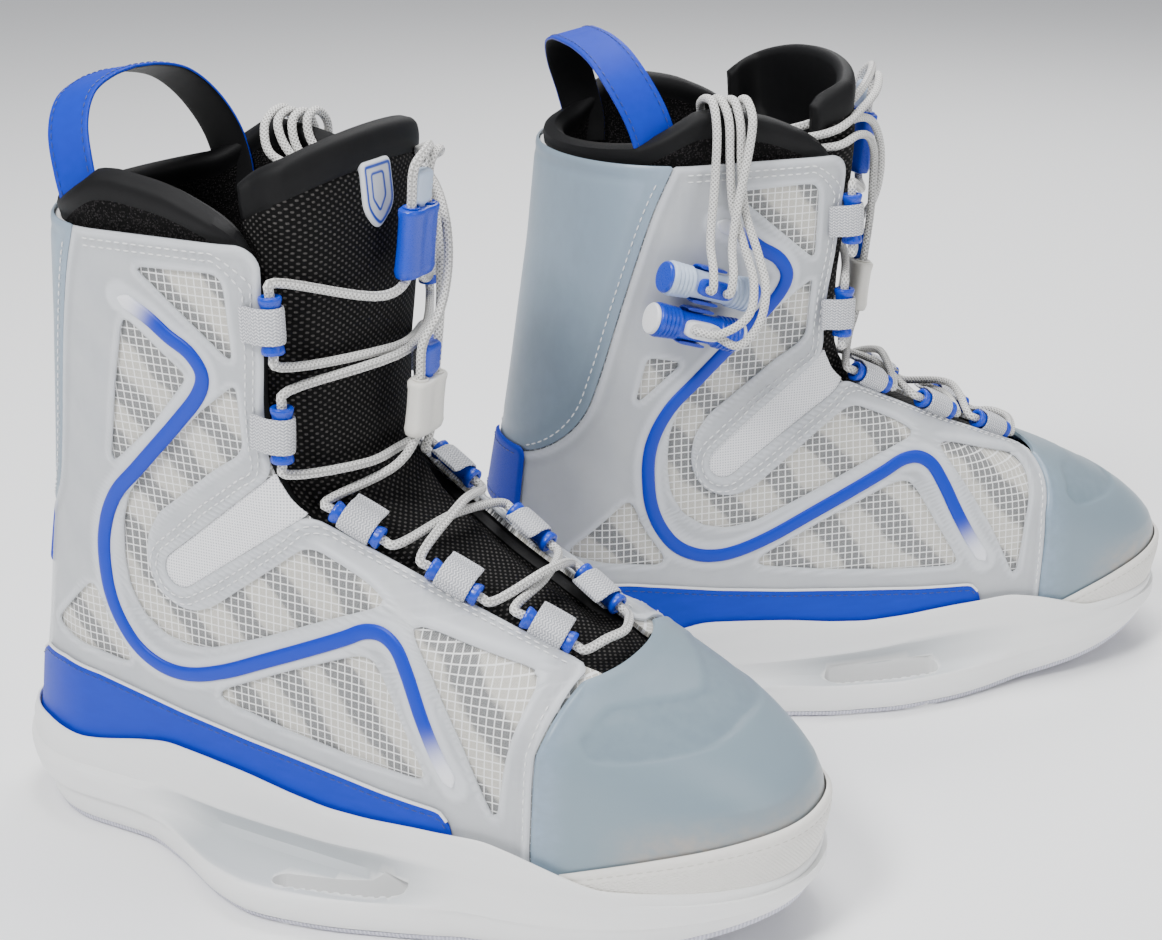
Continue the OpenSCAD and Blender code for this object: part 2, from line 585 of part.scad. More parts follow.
module left_pull_strap() { left_place() pull_strap(); }
module left_lace_guides() { left_place() lace_guides(); }
module left_lace_loops() { left_place() lace_loops(); }
module left_lower_lace() { left_place() lower_lace(); }
module left_upper_lace() { left_place() upper_lace(); }
module left_lower_lock() { left_place() lower_lock(); }
module left_lower_wedge() { left_place() lower_wedge(); }
module left_upper_lock() { left_place() upper_lock(); }
module left_upper_wedge() { left_place() upper_wedge(); }
module left_lower_handle() { left_place() lower_handle(); }
module left_lower_core() { left_place() lower_core(); }
module left_upper_handle() { left_place() upper_handle(); }
module left_upper_core() { left_place() upper_core(); }
module left_handle_dock() { left_place() handle_dock(); }

right_outsole();
right_midsole();
right_footbed();
right_quarter();
right_overlay();
right_ankle_mesh();
right_heel_counter();
right_heel_tab();
right_toe_cap();
right_toe_bumper();
right_foxing();
right_side_line();
right_liner();
right_tongue();
right_badge();
right_pull_strap();
right_lace_guides();
right_lace_loops();
right_lower_lace();
right_upper_lace();
right_lower_lock();
right_lower_wedge();
right_upper_lock();
right_upper_wedge();
right_lower_handle();
right_lower_core();
right_upper_handle();
right_upper_core();
right_handle_dock();
left_outsole();
left_midsole();
left_footbed();
left_quarter();
left_overlay();
left_ankle_mesh();
left_heel_counter();
left_heel_tab();
left_toe_cap();
left_toe_bumper();
left_foxing();
left_side_line();
left_liner();
left_tongue();
left_badge();
left_pull_strap();
left_lace_guides();
left_lace_loops();
left_lower_lace();
left_upper_lace();
left_lower_lock();
left_lower_wedge();
left_upper_lock();
left_upper_wedge();
left_lower_handle();
left_lower_core();
left_upper_handle();
left_upper_core();
left_handle_dock();
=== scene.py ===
"""Looks of a pair of laced wakeboard boots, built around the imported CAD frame.

Every shape is worked out in one boot's own frame, in millimetres: x runs from heel to toe,
y to the left and z up. The right boot is used directly and the left boot is its mirror image.
"""
import json
import math

import bmesh
import bpy
import numpy as np
from mathutils import Matrix, Vector


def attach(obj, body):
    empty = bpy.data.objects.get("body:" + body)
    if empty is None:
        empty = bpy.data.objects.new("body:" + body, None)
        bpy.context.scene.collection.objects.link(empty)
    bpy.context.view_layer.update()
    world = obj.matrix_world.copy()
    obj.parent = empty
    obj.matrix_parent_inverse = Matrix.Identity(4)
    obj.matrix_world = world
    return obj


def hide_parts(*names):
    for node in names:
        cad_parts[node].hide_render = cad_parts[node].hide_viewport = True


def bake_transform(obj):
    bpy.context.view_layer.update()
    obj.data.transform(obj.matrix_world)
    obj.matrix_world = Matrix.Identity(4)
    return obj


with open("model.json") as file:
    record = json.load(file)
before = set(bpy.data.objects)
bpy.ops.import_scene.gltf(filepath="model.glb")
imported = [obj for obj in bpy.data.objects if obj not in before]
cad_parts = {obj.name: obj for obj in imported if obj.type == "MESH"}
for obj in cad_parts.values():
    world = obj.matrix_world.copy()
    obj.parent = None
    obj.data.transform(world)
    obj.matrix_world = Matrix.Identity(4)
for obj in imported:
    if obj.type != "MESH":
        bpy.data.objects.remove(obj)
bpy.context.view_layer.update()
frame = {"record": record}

# ---------------------------------------------------------------- camera, light and floor
CAMERA_AT = (0.03689, -0.80667, 0.41632)
CAMERA_FORWARD = Vector((-0.06421, 0.93774, -0.34136))
CAMERA_ROLL = math.radians(-0.22)
LENS_MM = 65.8


def add_camera():
    data = bpy.data.cameras.new("camera")
    data.lens = LENS_MM
    data.sensor_width = 36
    data.clip_start = 0.01
    camera = bpy.data.objects.new("camera", data)
    camera.location = CAMERA_AT
    camera.rotation_euler = (
        CAMERA_FORWARD.to_track_quat("-Z", "Y").to_matrix()
        @ Matrix.Rotation(CAMERA_ROLL, 3, "Z")).to_euler()
    bpy.context.scene.collection.objects.link(camera)
    bpy.context.scene.camera = camera


def area_light(name, at, aim, size, power, color=(1, 1, 1)):
    data = bpy.data.lights.new(name, "AREA")
    data.shape = "DISK"
    data.size = size
    data.energy = power
    data.color = color
    lamp = bpy.data.objects.new(name, data)
    lamp.location = at
    lamp.rotation_euler = (Vector(aim) - Vector(at)).to_track_quat("-Z", "Y").to_euler()
    bpy.context.scene.collection.objects.link(lamp)


def add_studio():
    world = bpy.data.worlds.new("studio")
    bpy.context.scene.world = world
    world.use_nodes = True
    world.node_tree.nodes["Background"].inputs["Color"].default_value = (0.93, 0.95, 1, 1)
    world.node_tree.nodes["Background"].inputs["Strength"].default_value = 0.42
    area_light("key", (-0.7, -1.1, 1.5), (0, 0, 0.1), 0.5, 34)
    area_light("fill", (1.3, -0.7, 0.9), (0, 0, 0.1), 1.0, 7)
    area_light("back", (0.3, 1.3, 1.3), (0, 0, 0.15), 0.9, 14)
    area_light("top", (0.0, 0.1, 1.8), (0, 0, 0), 0.8, 22)
    mesh = bpy.data.meshes.new("floor")
    bm = bmesh.new()
    bmesh.ops.create_grid(bm, x_segments=8, y_segments=8, size=6)
    bm.to_mesh(mesh)
    bm.free()
    floor = bpy.data.objects.new("floor", mesh)
    floor.location.z = -0.0004
    bpy.context.scene.collection.objects.link(floor)
    mesh.materials.append(floor_material())


# ---------------------------------------------------------------- materials
class Shade:
    """One material and its Principled shader, with short ways to add nodes."""

    def __init__(self, name, color=(1, 1, 1), rough=0.5, **sockets):
        self.mat = bpy.data.materials.new(name)
        self.mat.use_nodes = True
        self.tree = self.mat.node_tree
        self.shader = self.tree.nodes["Principled BSDF"]
        self.set(self.shader, "Base Color", (*color, 1))
        self.set(self.shader, "Roughness", rough)
        for key, value in sockets.items():
            self.set(self.shader, key.replace("_", " "), value)

    def set(self, node, key, value):
        if isinstance(value, bpy.types.NodeSocket):
            self.tree.links.new(value, node.inputs[key])
        else:
            node.inputs[key].default_value = value

    def add(self, kind, values=None, **props):
        node = self.tree.nodes.new("ShaderNode" + kind)
        for key, value in props.items():
            setattr(node, key, value)
        for key, value in (values or {}).items():
            self.set(node, key, value)
        return node

    def math(self, op, a, b=0.0, c=0.0):
        node = self.add("Math", {0: a, 1: b, 2: c}, operation=op)
        return node.outputs[0]

    def noise(self, scale, detail=3, vector=None, rough=0.5):
        values = {"Scale": scale, "Detail": detail, "Roughness": rough}
        if vector is not None:
            values["Vector"] = vector
        return self.add("TexNoise", values).outputs["Fac"]

    def place(self):
        """Millimetres on the piece: u along, v up or across, from its own attribute."""
        return self.add("Attribute", attribute_name="place").outputs["Vector"]

    def value(self, name):
        return self.add("Attribute", attribute_name=name).outputs["Fac"]

    def mix(self, fac, a, b):
        node = self.add("Mix", data_type="RGBA")
        self.set(node, "Factor", fac)
        for key, value in ((6, a), (7, b)):
            if isinstance(value, tuple):
                value = (*value[:3], 1)
            self.set(node, key, value)
        return node.outputs[2]

    def ramp(self, fac, low, high, out_low=0.0, out_high=1.0):
        node = self.add("MapRange", {"From Min": low, "From Max": high, "To Min": out_low,
                                     "To Max": out_high}, interpolation_type="SMOOTHSTEP")
        self.set(node, "Value", fac)
        return node.outputs[0]

    def bump(self, height, strength=0.3, distance=0.0004):
        node = self.add("Bump", {"Strength": strength, "Distance": distance})
        self.set(node, "Height", height)
        self.set(self.shader, "Normal", node.outputs[0])

    def color(self, value):
        self.set(self.shader, "Base Color", value)

    def wave(self, value, pitch, phase=0.0):
        """Sine of value with that pitch, from 0 to 1."""
        turn = self.math("MULTIPLY_ADD", value, 2 * math.pi / pitch, phase)
        return self.math("MULTIPLY_ADD", self.math("SINE", turn), 0.5, 0.5)


def floor_material():
    s = Shade("floor", (0.97, 0.97, 0.97), 0.8, Specular_IOR_Level=0.1)
    s.bump(s.noise(60), 0.02)
    return s.mat


def moulded(name, color, rough=0.4, grain=900.0, depth=0.12, vary=0.06, **sockets):
    """Moulded plastic or rubber: a fine skin grain and a faint change of colour."""
    s = Shade(name, color, rough, **sockets)
    slow = s.noise(25, 2)
    dark = tuple(c * (1 - vary) for c in color)
    light = tuple(min(1, c * (1 + vary)) for c in color)
    s.color(s.mix(slow, dark, light))
    s.bump(s.noise(grain, 2), depth)
    s.set(s.shader, "Roughness", s.ramp(s.noise(90, 3), 0.3, 0.7, rough - 0.05, rough + 0.06))
    return s.mat


def frosted(name, color, low, high, rough=0.36):
    """Frosted polyurethane skin: see-through where thin, milky where it is thick."""
    s = Shade(name, color, rough, Specular_IOR_Level=0.55)
    thick = s.value("thick")
    cloud = s.noise(45, 3)
    s.color(s.mix(thick, tuple(c * 0.93 for c in color), tuple(min(1, c * 1.04) for c in color)))
    alpha = s.ramp(thick, 0.0, 1.0, low, high)
    s.set(s.shader, "Alpha", s.math("MULTIPLY_ADD", cloud, 0.06, alpha))
    s.bump(s.noise(1400, 2), 0.10)
    return s.mat


def ripstop_material():
    s = Shade("ripstop", rough=0.6, Sheen_Weight=0.1)
    at = s.place()
    brick = s.add("TexBrick", {"Vector": at, "Scale": 1.0, "Mortar Size": 0.3,
                               "Mortar Smooth": 0.35, "Brick Width": RIPSTOP_PITCH,
                               "Row Height": RIPSTOP_PITCH, "Bias": 0.0},
                  offset=0.0, squash=1.0)
    line = brick.outputs["Fac"]
    axes = s.add("SeparateXYZ", {"Vector": at})
    u, v = axes.outputs[0], axes.outputs[1]
    across = s.math("ADD", u, v)
    hatch = s.wave(across, 0.55)
    weave = s.math("MULTIPLY", hatch, s.noise(2.2, 2, at))
    # broad diagonal bands of grey and cream: the padding's stripes seen through the cloth, together with
    # painted shade of the cloth's folds
    broad = s.math("MULTIPLY_ADD", s.noise(0.05, 2, at), 16.0, s.math("MULTIPLY_ADD", v, 0.9, u))
    band = s.ramp(s.wave(broad, 30.0), 0.28, 0.72)
    grey = s.mix(s.ramp(weave, 0.1, 0.6), (0.10, 0.105, 0.11), (0.40, 0.40, 0.39))
    cream = s.mix(s.ramp(weave, 0.1, 0.6), (0.45, 0.43, 0.38), (0.74, 0.72, 0.66))
    cell = s.mix(band, grey, cream)
    s.color(s.mix(line, cell, (0.90, 0.90, 0.89)))
    s.bump(s.math("MULTIPLY_ADD", line, 0.7, s.math("MULTIPLY", hatch, 0.25)), 0.5)
    return s.mat


def dots(s, at, pitch_u, pitch_v):
    """Raised dots in staggered rows, 0 to 1."""
    axes = s.add("SeparateXYZ", {"Vector": at})
    u, v = axes.outputs[0], axes.outputs[1]
    a = s.math("SINE", s.math("MULTIPLY", u, 2 * math.pi / pitch_u))
    b = s.math("SINE", s.math("MULTIPLY", v, math.pi / pitch_v))
    return s.math("ABSOLUTE", s.math("MULTIPLY", a, b)), s.math("MULTIPLY", a, b)


def mesh_material():
    s = Shade("open_mesh", rough=0.7, Sheen_Weight=0.2)
    size, _ = dots(s, s.place(), 2.3, 1.15)
    hole = s.ramp(size, 0.55, 0.85)
    s.color(s.mix(hole, (0.90, 0.90, 0.92), (0.52, 0.53, 0.57)))
    s.bump(s.math("MULTIPLY", hole, -1.0), 0.6)
    return s.mat


def tongue_material():
    s = Shade("dotted_mesh", rough=0.8, Specular_IOR_Level=0.15)
    at = s.place()
    _, lump = dots(s, at, 2.9, 1.25)
    raised = s.ramp(lump, 0.15, 0.75)
    fine = s.noise(3.5, 2, at)
    s.color(s.mix(s.math("MULTIPLY", raised, s.ramp(fine, 0.3, 0.7, 0.5, 1.0)),
                  (0.002, 0.002, 0.002), (0.085, 0.080, 0.077)))
    s.bump(s.math("MULTIPLY_ADD", raised, 1.0, s.math("MULTIPLY", fine, 0.2)), 0.9, 0.0007)
    return s.mat


def knit_material():
    s = Shade("knit", rough=0.9, Specular_IOR_Level=0.12)
    at = s.place()
    cells = s.add("TexVoronoi", {"Vector": at, "Scale": 1.15, "Randomness": 0.75}).outputs[0]
    tuft = s.ramp(cells, 0.15, 0.6)
    s.color(s.mix(tuft, (0.030, 0.027, 0.028), (0.002, 0.002, 0.002)))
    s.bump(s.math("MULTIPLY", tuft, -1.0), 0.85, 0.0006)
    return s.mat


def neoprene_material():
    s = Shade("neoprene", (0.012, 0.012, 0.013), 0.6, Specular_IOR_Level=0.22)
    s.color(s.mix(s.noise(30, 2), (0.0015, 0.0015, 0.002), (0.004, 0.004, 0.0045)))
    s.bump(s.noise(2600, 2), 0.25, 0.0002)
    return s.mat


def leather_material(name, color):
    s = Shade(name, color, 0.5, Specular_IOR_Level=0.25)
    grain = s.add("TexVoronoi", {"Scale": 1100, "Randomness": 1.0},
                  feature="SMOOTH_F1").outputs[0]
    slow = s.noise(18, 2)
    s.color(s.mix(slow, tuple(c * 0.88 for c in color), tuple(min(1, c * 1.08) for c in color)))
    s.bump(s.math("MULTIPLY_ADD", grain, -0.6, s.noise(500, 2)), 0.22, 0.0003)
    return s.mat


def lace_material():
    s = Shade("braid", (0.80, 0.79, 0.76), 0.62, Sheen_Weight=0.2)
    axes = s.add("SeparateXYZ", {"Vector": s.place()})
    around, along = axes.outputs[0], axes.outputs[1]
    turn = s.math("MULTIPLY", around, 6 * 2 * math.pi)
    step = s.math("MULTIPLY", along, 2 * math.pi / 1.7)
    a = s.math("SINE", s.math("ADD", turn, step))
    b = s.math("SINE", s.math("SUBTRACT", turn, step))
    plait = s.math("MAXIMUM", a, b)
    s.color(s.mix(s.ramp(plait, -0.2, 0.8), (0.42, 0.41, 0.39), (0.88, 0.87, 0.84)))
    s.bump(plait, 0.75, 0.00035)
    return s.mat


def webbing_material():
    s = Shade("webbing", rough=0.38, Sheen_Weight=0.15, Specular_IOR_Level=0.7)
    axes = s.add("SeparateXYZ", {"Vector": s.place()})
    u, v = axes.outputs[0], axes.outputs[1]
    zig = s.math("ABSOLUTE", s.math("SUBTRACT", s.math("FRACT", s.math("DIVIDE", v, 2.2)), 0.5))
    cord = s.wave(s.math("MULTIPLY_ADD", zig, 1.6, u), 1.15)
    rib = s.wave(v, 1.1)
    weave = s.math("MULTIPLY", cord, s.ramp(rib, 0.0, 0.9, 0.55, 1.0))
    s.color(s.mix(weave, (0.33, 0.34, 0.38), (0.93, 0.93, 0.95)))
    s.bump(weave, 0.8, 0.0004)
    return s.mat


def thread_material(name, color):
    s = Shade(name, color, 0.5, Sheen_Weight=0.2)
    s.bump(s.wave(s.add("SeparateXYZ", {"Vector": s.place()}).outputs[1], 0.5), 0.5, 0.0002)
    return s.mat


def line_material():
    """The blue line in the skin, fading to milky white at both ends."""
    s = Shade("side_line", rough=0.4, Specular_IOR_Level=0.3)
    blue = s.ramp(s.value("fade"), 0.0, 1.0)
    s.color(s.mix(blue, (0.84, 0.85, 0.89), BLUE))
    s.bump(s.noise(1200, 2), 0.10)
    return s.mat


def toe_material():
    s = Shade("toe_cap", rough=0.33, Specular_IOR_Level=0.5, Subsurface_Weight=0.12,
              Subsurface_Radius=(0.004, 0.004, 0.005), Subsurface_Scale=1.0)
    axes = s.add("SeparateXYZ", {"Vector": s.place()})
    along, up = axes.outputs[0], axes.outputs[1]
    base = s.mix(s.value("step"), (0.215, 0.285, 0.335), (0.165, 0.225, 0.27))
    base = s.mix(s.ramp(along, 252, 266, 0.75, 0.0), base, (0.30, 0.40, 0.54))
    warm = s.math("MULTIPLY", s.ramp(up, 64, 46), s.ramp(along, 268, 300))
    base = s.mix(warm, base, (0.46, 0.37, 0.29))
    s.color(s.mix(s.noise(20, 2), base, (0.21, 0.28, 0.33)))
    lines = s.wave(s.math("MULTIPLY_ADD", up, 0.8, along), 1.1)
    s.bump(s.math("MULTIPLY_ADD", lines, 0.3, s.noise(1200, 2)), 0.10)
    return s.mat


def counter_material():
    s = Shade("heel_counter", rough=0.34, Specular_IOR_Level=0.5)
    axes = s.add("SeparateXYZ", {"Vector": s.place()})
    along, up = axes.outputs[0], axes.outputs[1]
    base = s.mix(s.ramp(along, 44, 66), (0.23, 0.30, 0.36), (0.33, 0.43, 0.54))
    base = s.mix(s.ramp(up, 128, 112), base, (0.50, 0.52, 0.54))
    s.color(s.mix(s.noise(16, 2), base, (0.27, 0.35, 0.43)))
    s.set(s.shader, "Alpha", s.ramp(s.value("thick"), 0.0, 1.0, 0.86, 0.97))
    s.bump(s.noise(1200, 2), 0.08)
    return s.mat


def sole_material():
    s = Shade("eva_foam", rough=0.55, Subsurface_Weight=0.06,
              Subsurface_Radius=(0.006, 0.006, 0.006), Subsurface_Scale=1.0)
    white = s.mix(s.noise(9, 3), (0.85, 0.855, 0.85), (0.91, 0.91, 0.90))
    # grey where the attribute is set: painted shade in the scoop above the wings
    s.color(s.mix(s.value("painted_shade"), white, (0.60, 0.63, 0.65)))
    pits = s.add("TexVoronoi", {"Scale": 700}).outputs[0]
    s.bump(s.math("MULTIPLY_ADD", pits, 0.5, s.noise(320, 3)), 0.14, 0.0003)
    return s.mat


def outsole_material():
    s = Shade("outsole", rough=0.32, Specular_IOR_Level=0.55)
    axes = s.add("SeparateXYZ", {"Vector": s.place()})
    rib = s.wave(axes.outputs[0], 1.5)
    s.color(s.mix(rib, (0.66, 0.66, 0.80), (0.80, 0.80, 0.90)))
    s.set(s.shader, "Alpha", s.ramp(rib, 0.0, 1.0, 0.78, 0.92))
    s.bump(rib, 0.6, 0.0005)
    return s.mat


def bumper_material():
    s = Shade("toe_bumper", (0.80, 0.78, 0.73), 0.5)
    axes = s.add("SeparateXYZ", {"Vector": s.place()})
    u, v = axes.outputs[0], axes.outputs[1]
    a = s.wave(s.math("ADD", u, s.math("MULTIPLY", v, 1.4)), 1.9)
    b = s.wave(s.math("SUBTRACT", u, s.math("MULTIPLY", v, 1.4)), 1.9)
    diamond = s.math("MINIMUM", a, b)
    low = s.ramp(s.value("low"), 0.0, 1.0)
    s.color(s.mix(s.noise(30, 2), (0.76, 0.74, 0.69), (0.84, 0.82, 0.78)))
    s.bump(s.math("MULTIPLY", diamond, low), 0.6, 0.0004)
    return s.mat


# ---------------------------------------------------------------- shape of the boot
REAR = [[0, 6], [26, 2], [40, 7], [60, 10], [84, 15], [100, 18], [127, 23], [150, 27],
        [175, 31], [205, 36], [248, 41], [300, 45]]
FRONT = [[20, 320], [35, 328], [50, 331], [60, 328], [68, 320], [77, 309], [88, 289],
         [97, 266], [104, 250], [112, 233], [124, 207], [135, 189], [141, 179], [148, 171],
 [160, 166], [190, 165], [232, 169], [248, 170], [262, 169], [280, 167], [300, 164]]
FOOT_HALF = [[0, 38], [40, 42], [75, 44], [110, 46], [160, 49], [215, 55], [250, 55],
             [285, 51], [333, 46]]
CUFF_HALF = [[70, 46], [130, 44], [150, 46], [175, 49], [205, 53], [245, 56], [300, 58]]
FOOT_MID = [[0, 0], [200, 0], [260, 1], [333, 6]]
FRONT_ROUND = [[30, 78], [60, 72], [88, 62], [100, 48], [112, 38], [130, 30], [150, 34],
               [250, 38]]
GAP_HALF = [[89, 0], [93, 13], [100, 20], [110, 24], [124, 29], [141, 37], [150, 42],
            [170, 46], [220, 50], [250, 52]]
SKIN = 1.2
QUARTER_IN = 0.6
BASE_Z = 31
CUFF_Z = 247
RIPSTOP_PITCH = 3.1
BLUE = (0.0, 0.028, 0.46)


def look(v, table):
    table = np.array(table, float)
    return np.interp(v, table[:, 0], table[:, 1])


def soft(v, table, s):
    return (look(v - s, table) + 2 * look(v, table) + look(v + s, table)) / 4


def ramp(a, b, v):
    t = np.clip((v - a) / (b - a), 0, 1)
    return t * t * (3 - 2 * t)


def mix(a, b, t):
    return a + (b - a) * t


def rear(z):
    return soft(z, REAR, 5)


def front(z):
    return soft(z, FRONT, 5)


def wide(x, z):
    return mix(soft(x, FOOT_HALF, 12), soft(z, CUFF_HALF, 8), ramp(60, 150, z))


def cap(d, a, p):
    u = np.clip(d / a, 0, 1)
    return (1 - (1 - u) ** p) ** (1 / p)


def half(x, z):
    return wide(x, z) * cap(x - rear(z), 44, 2) * cap(front(z) - x, soft(z, FRONT_ROUND, 5), 2.3)


def middle(x, z):
    return (1 - ramp(60, 150, z)) * soft(x, FOOT_MID, 12)


def skin(t, z):
    """Point on the upper: t goes -180 to 180 round from the heel, negative on the outer side."""
    t, z = np.broadcast_arrays(np.asarray(t, float), np.asarray(z, float))
    x = mix(rear(z), front(z), (1 - np.cos(np.radians(t))) / 2)
    return np.stack([x, middle(x, z) + np.sign(np.sin(np.radians(t))) * half(x, z), z], -1)


def inward(t, z):
    n = np.cross(skin(t + 1, z) - skin(t - 1, z), skin(t, z + 1) - skin(t, z - 1))
    return n / np.maximum(np.linalg.norm(n, axis=-1, keepdims=True), 1e-9)


def under(t, z, d):
    """The same point moved inward by d."""
    d = np.asarray(d, float)
    return skin(t, z) + (d[..., None] if d.ndim else d) * inward(t, z)


def angle_at(x, z):
    """The angle t, 0 to 180, where the upper has that x."""
    return np.degrees(np.arccos(np.clip(1 - 2 * (x - rear(z)) / (front(z) - rear(z)), -1, 1)))


def gap_angle(z):
    """The angle of the lacing gap's edge."""
    ratio = np.clip(soft(z, GAP_HALF, 3) / wide(front(z) - 15, z), 0, 1)
    d = soft(z, FRONT_ROUND, 5) * (1 - (1 - ratio ** 2.3) ** (1 / 2.3))
    return np.minimum(angle_at(front(z) - d, z), 179)


def unit(v):
    v = np.asarray(v, float)
    return v / np.linalg.norm(v, axis=-1, keepdims=True)


def smooth_path(points, k=8):
    """Centripetal curve through points, k steps between neighbours."""
    p = np.array(points, float)
    q = np.vstack([2 * p[0] - p[1], p, 2 * p[-1] - p[-2]])
    out = []
    for i in range(1, len(q) - 2):
        a, b, c, d = q[i - 1:i + 3]
        t1 = np.linalg.norm(b - a) ** 0.5
        t2 = t1 + np.linalg.norm(c - b) ** 0.5
        t3 = t2 + np.linalg.norm(d - c) ** 0.5
        for t in np.linspace(t1, t2, k, endpoint=False):
            a1 = mix(a, b, t / t1)
            a2 = mix(b, c, (t - t1) / (t2 - t1))
            a3 = mix(c, d, (t - t2) / (t3 - t2))
            b1 = mix(a1, a2, t / t2)
            b2 = mix(a2, a3, (t - t1) / (t3 - t1))
            out.append(mix(b1, b2, (t - t1) / (t2 - t1)))
    return np.array(out + [p[-1]])


def even(path, step):
    """The path sampled at equal steps of about that length."""
    run = np.r_[0, np.cumsum(np.linalg.norm(np.diff(path, axis=0), axis=1))]
    s = np.linspace(0, run[-1], max(2, int(round(run[-1] / step)) + 1))
    return np.stack([np.interp(s, run, path[:, i]) for i in range(path.shape[1])], 1)


# ---------------------------------------------------------------- building pieces
SOLE_AT = np.array([99.0, 0.0])
SLOT_AT = np.array([176.5, -61.5])
MOUNTS = {m["name"]: np.array(m["pos_m"][:2]) * 1000 for m in frame["record"]["mounts"]}


class Boot:
    def __init__(self, side):
        self.side = side
        self.flip = 1 if side == "right" else -1
        near = SOLE_AT * [1, self.flip]
        far = SLOT_AT * [1, self.flip]
        a, b = MOUNTS[side + "_sole"], MOUNTS[side + "_outer_slot"]
        turn = math.atan2(*(b - a)[::-1]) - math.atan2(*(far - near)[::-1])
        self.turn = np.array([[math.cos(turn), -math.sin(turn)], [math.sin(turn), math.cos(turn)]])
        self.origin = a - self.turn @ near

    def world(self, p):
        """Boot millimetres to row metres."""
        p = np.array(p, float)
        flat = (p[..., :2] * [1, self.flip]) @ self.turn.T + self.origin
        return np.concatenate([flat, p[..., 2:]], -1) / 1000

    def body(self, name="boot"):
        return f"{self.side}_{name}"

    def piece(self, name, verts, faces, material, values=None, place=None, closed=True,
              sharp=50, node=None, slot=None, body="boot", ride=True):
        mesh = bpy.data.meshes.new(name)
        mesh.from_pydata(self.world(verts).tolist(), [], [list(map(int, f)) for f in faces])
        for key, value in (values or {}).items():
            mesh.attributes.new(key, "FLOAT", "POINT").data.foreach_set(
                "value", np.asarray(value, np.float32))
        if place is not None:
            place = np.asarray(place, np.float32)
            if place.shape[1] == 2:
                place = np.c_[place, np.zeros(len(place), np.float32)]
            mesh.attributes.new("place", "FLOAT_VECTOR", "POINT").data.foreach_set(
                "vector", place.astype(np.float32).ravel())
        if closed:
            bm = bmesh.new()
            bm.from_mesh(mesh)
            bmesh.ops.recalc_face_normals(bm, faces=bm.faces)
            bm.to_mesh(mesh)
            bm.free()
        elif self.flip < 0:
            mesh.flip_normals()
        mesh.shade_smooth()
        mesh.set_sharp_from_angle(angle=math.radians(sharp))
        mesh.materials.append(material)
        obj = bpy.data.objects.new(f"{self.side}_{name}_look", mesh)
        bpy.context.scene.collection.objects.link(obj)
        node = name if node is None else node
        nodes = [node] if isinstance(node, str) else list(node)
        if nodes:
            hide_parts(*[f"{self.side}_{n}" for n in nodes])
        slot = slot or (nodes[0] if nodes else None)
        if ride:
            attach(obj, self.body(body))
        return obj


def grid_faces(n, m, start=0, wrap=False):
    """Faces of m rows of quads with n columns; wrap joins the last column to the first."""
    cols = n if wrap else n + 1
    j, i = np.meshgrid(np.arange(m), np.arange(n), indexing="ij")
    a = start + j * cols + i
    b = start + j * cols + (i + 1) % cols
    return np.stack([a, b, b + cols, a + cols], -1).reshape(-1, 4)


def cut_grid(n, m, place, field):
    """Flat (t, z) points and faces of a grid where field is above 0, cut along its zero line."""
    u, v = np.meshgrid(np.linspace(0, 1, n + 1), np.linspace(0, 1, m + 1))
    t, z = place(u, v)
    f = field(t, z)
    inside = f > 0
    at = np.stack([t, z], -1).reshape(-1, 2)
    flat, keep = f.ravel(), inside.ravel()
    number = np.full(keep.size, -1)
    number[keep] = np.arange(keep.sum())
    points = list(at[keep])
    quads = grid_faces(n, m)
    count = keep[quads].sum(1)
    faces = [list(number[q]) for q in quads[count == 4]]
    cross = {}
    for q in quads[(count > 0) & (count < 4)]:
        face = []
        for a, b in zip(q, np.roll(q, -1)):
            if keep[a]:
                face.append(number[a])
            if keep[a] != keep[b]:
                key = (min(a, b), max(a, b))
                if key not in cross:
                    share = np.clip(flat[a] / (flat[a] - flat[b]), 0.02, 0.98)
                    cross[key] = len(points)
                    points.append(mix(at[a], at[b], share))
                face.append(cross[key])
        faces.append(face)
    used = np.unique(np.concatenate([np.array(f) for f in faces]))
    renumber = np.full(len(points), -1)
    renumber[used] = np.arange(len(used))
    return np.array(points)[used], [[int(renumber[i]) for i in f] for f in faces]


def rim_edges(faces):
    """Edges used by one face only, in that face's direction."""
    seen = {}
    for f in faces:
        for a, b in zip(f, f[1:] + f[:1]):
            if (b, a) in seen:
                del seen[(b, a)]
            else:
                seen[(a, b)] = True
    return list(seen)


def sheet_solid(outer, inner, faces):
    """Closed solid between two point sets that share one face list."""
    faces = [list(map(int, f)) for f in faces]
    k = len(outer)
    back = [[i + k for i in reversed(f)] for f in faces]
    sides = [[b, a, a + k, b + k] for a, b in rim_edges(faces)]
    return np.vstack([outer, inner]), faces + back + sides


def tube(path, radius, n=12, squeeze=None, ends=True):
    """Points, faces and (turn, length) of a tube along a path. squeeze is not used."""
    path = np.asarray(path, float)
    m = len(path)
    r = np.broadcast_to(radius, m)
    tangent = unit(np.gradient(path, axis=0))
    normal = np.zeros_like(path)
    seed = np.array([1, 0, 0]) if abs(tangent[0][2]) > 0.8 else np.array([0, 0, 1])
    v = seed - seed @ tangent[0] * tangent[0]
    for i in range(m):
        v = unit(v - v @ tangent[i] * tangent[i])
        normal[i] = v
    side = np.cross(tangent, normal)
    a = np.arange(n) * 2 * np.pi / n
    ring = (np.cos(a)[None, :, None] * normal[:, None] + np.sin(a)[None, :, None] * side[:, None])
    verts = path[:, None] + r[:, None, None] * ring
    run = np.r_[0, np.cumsum(np.linalg.norm(np.diff(path, axis=0), axis=1))]
    place = np.stack([np.broadcast_to(np.arange(n) / n, (m, n)),
                      np.broadcast_to(run[:, None], (m, n))], -1)
    faces = grid_faces(n, m - 1, wrap=True).tolist()
    if ends:
        faces += [list(range(n))[::-1], [(m - 1) * n + i for i in range(n)]]
    return verts.reshape(-1, 3), faces, place.reshape(-1, 2)


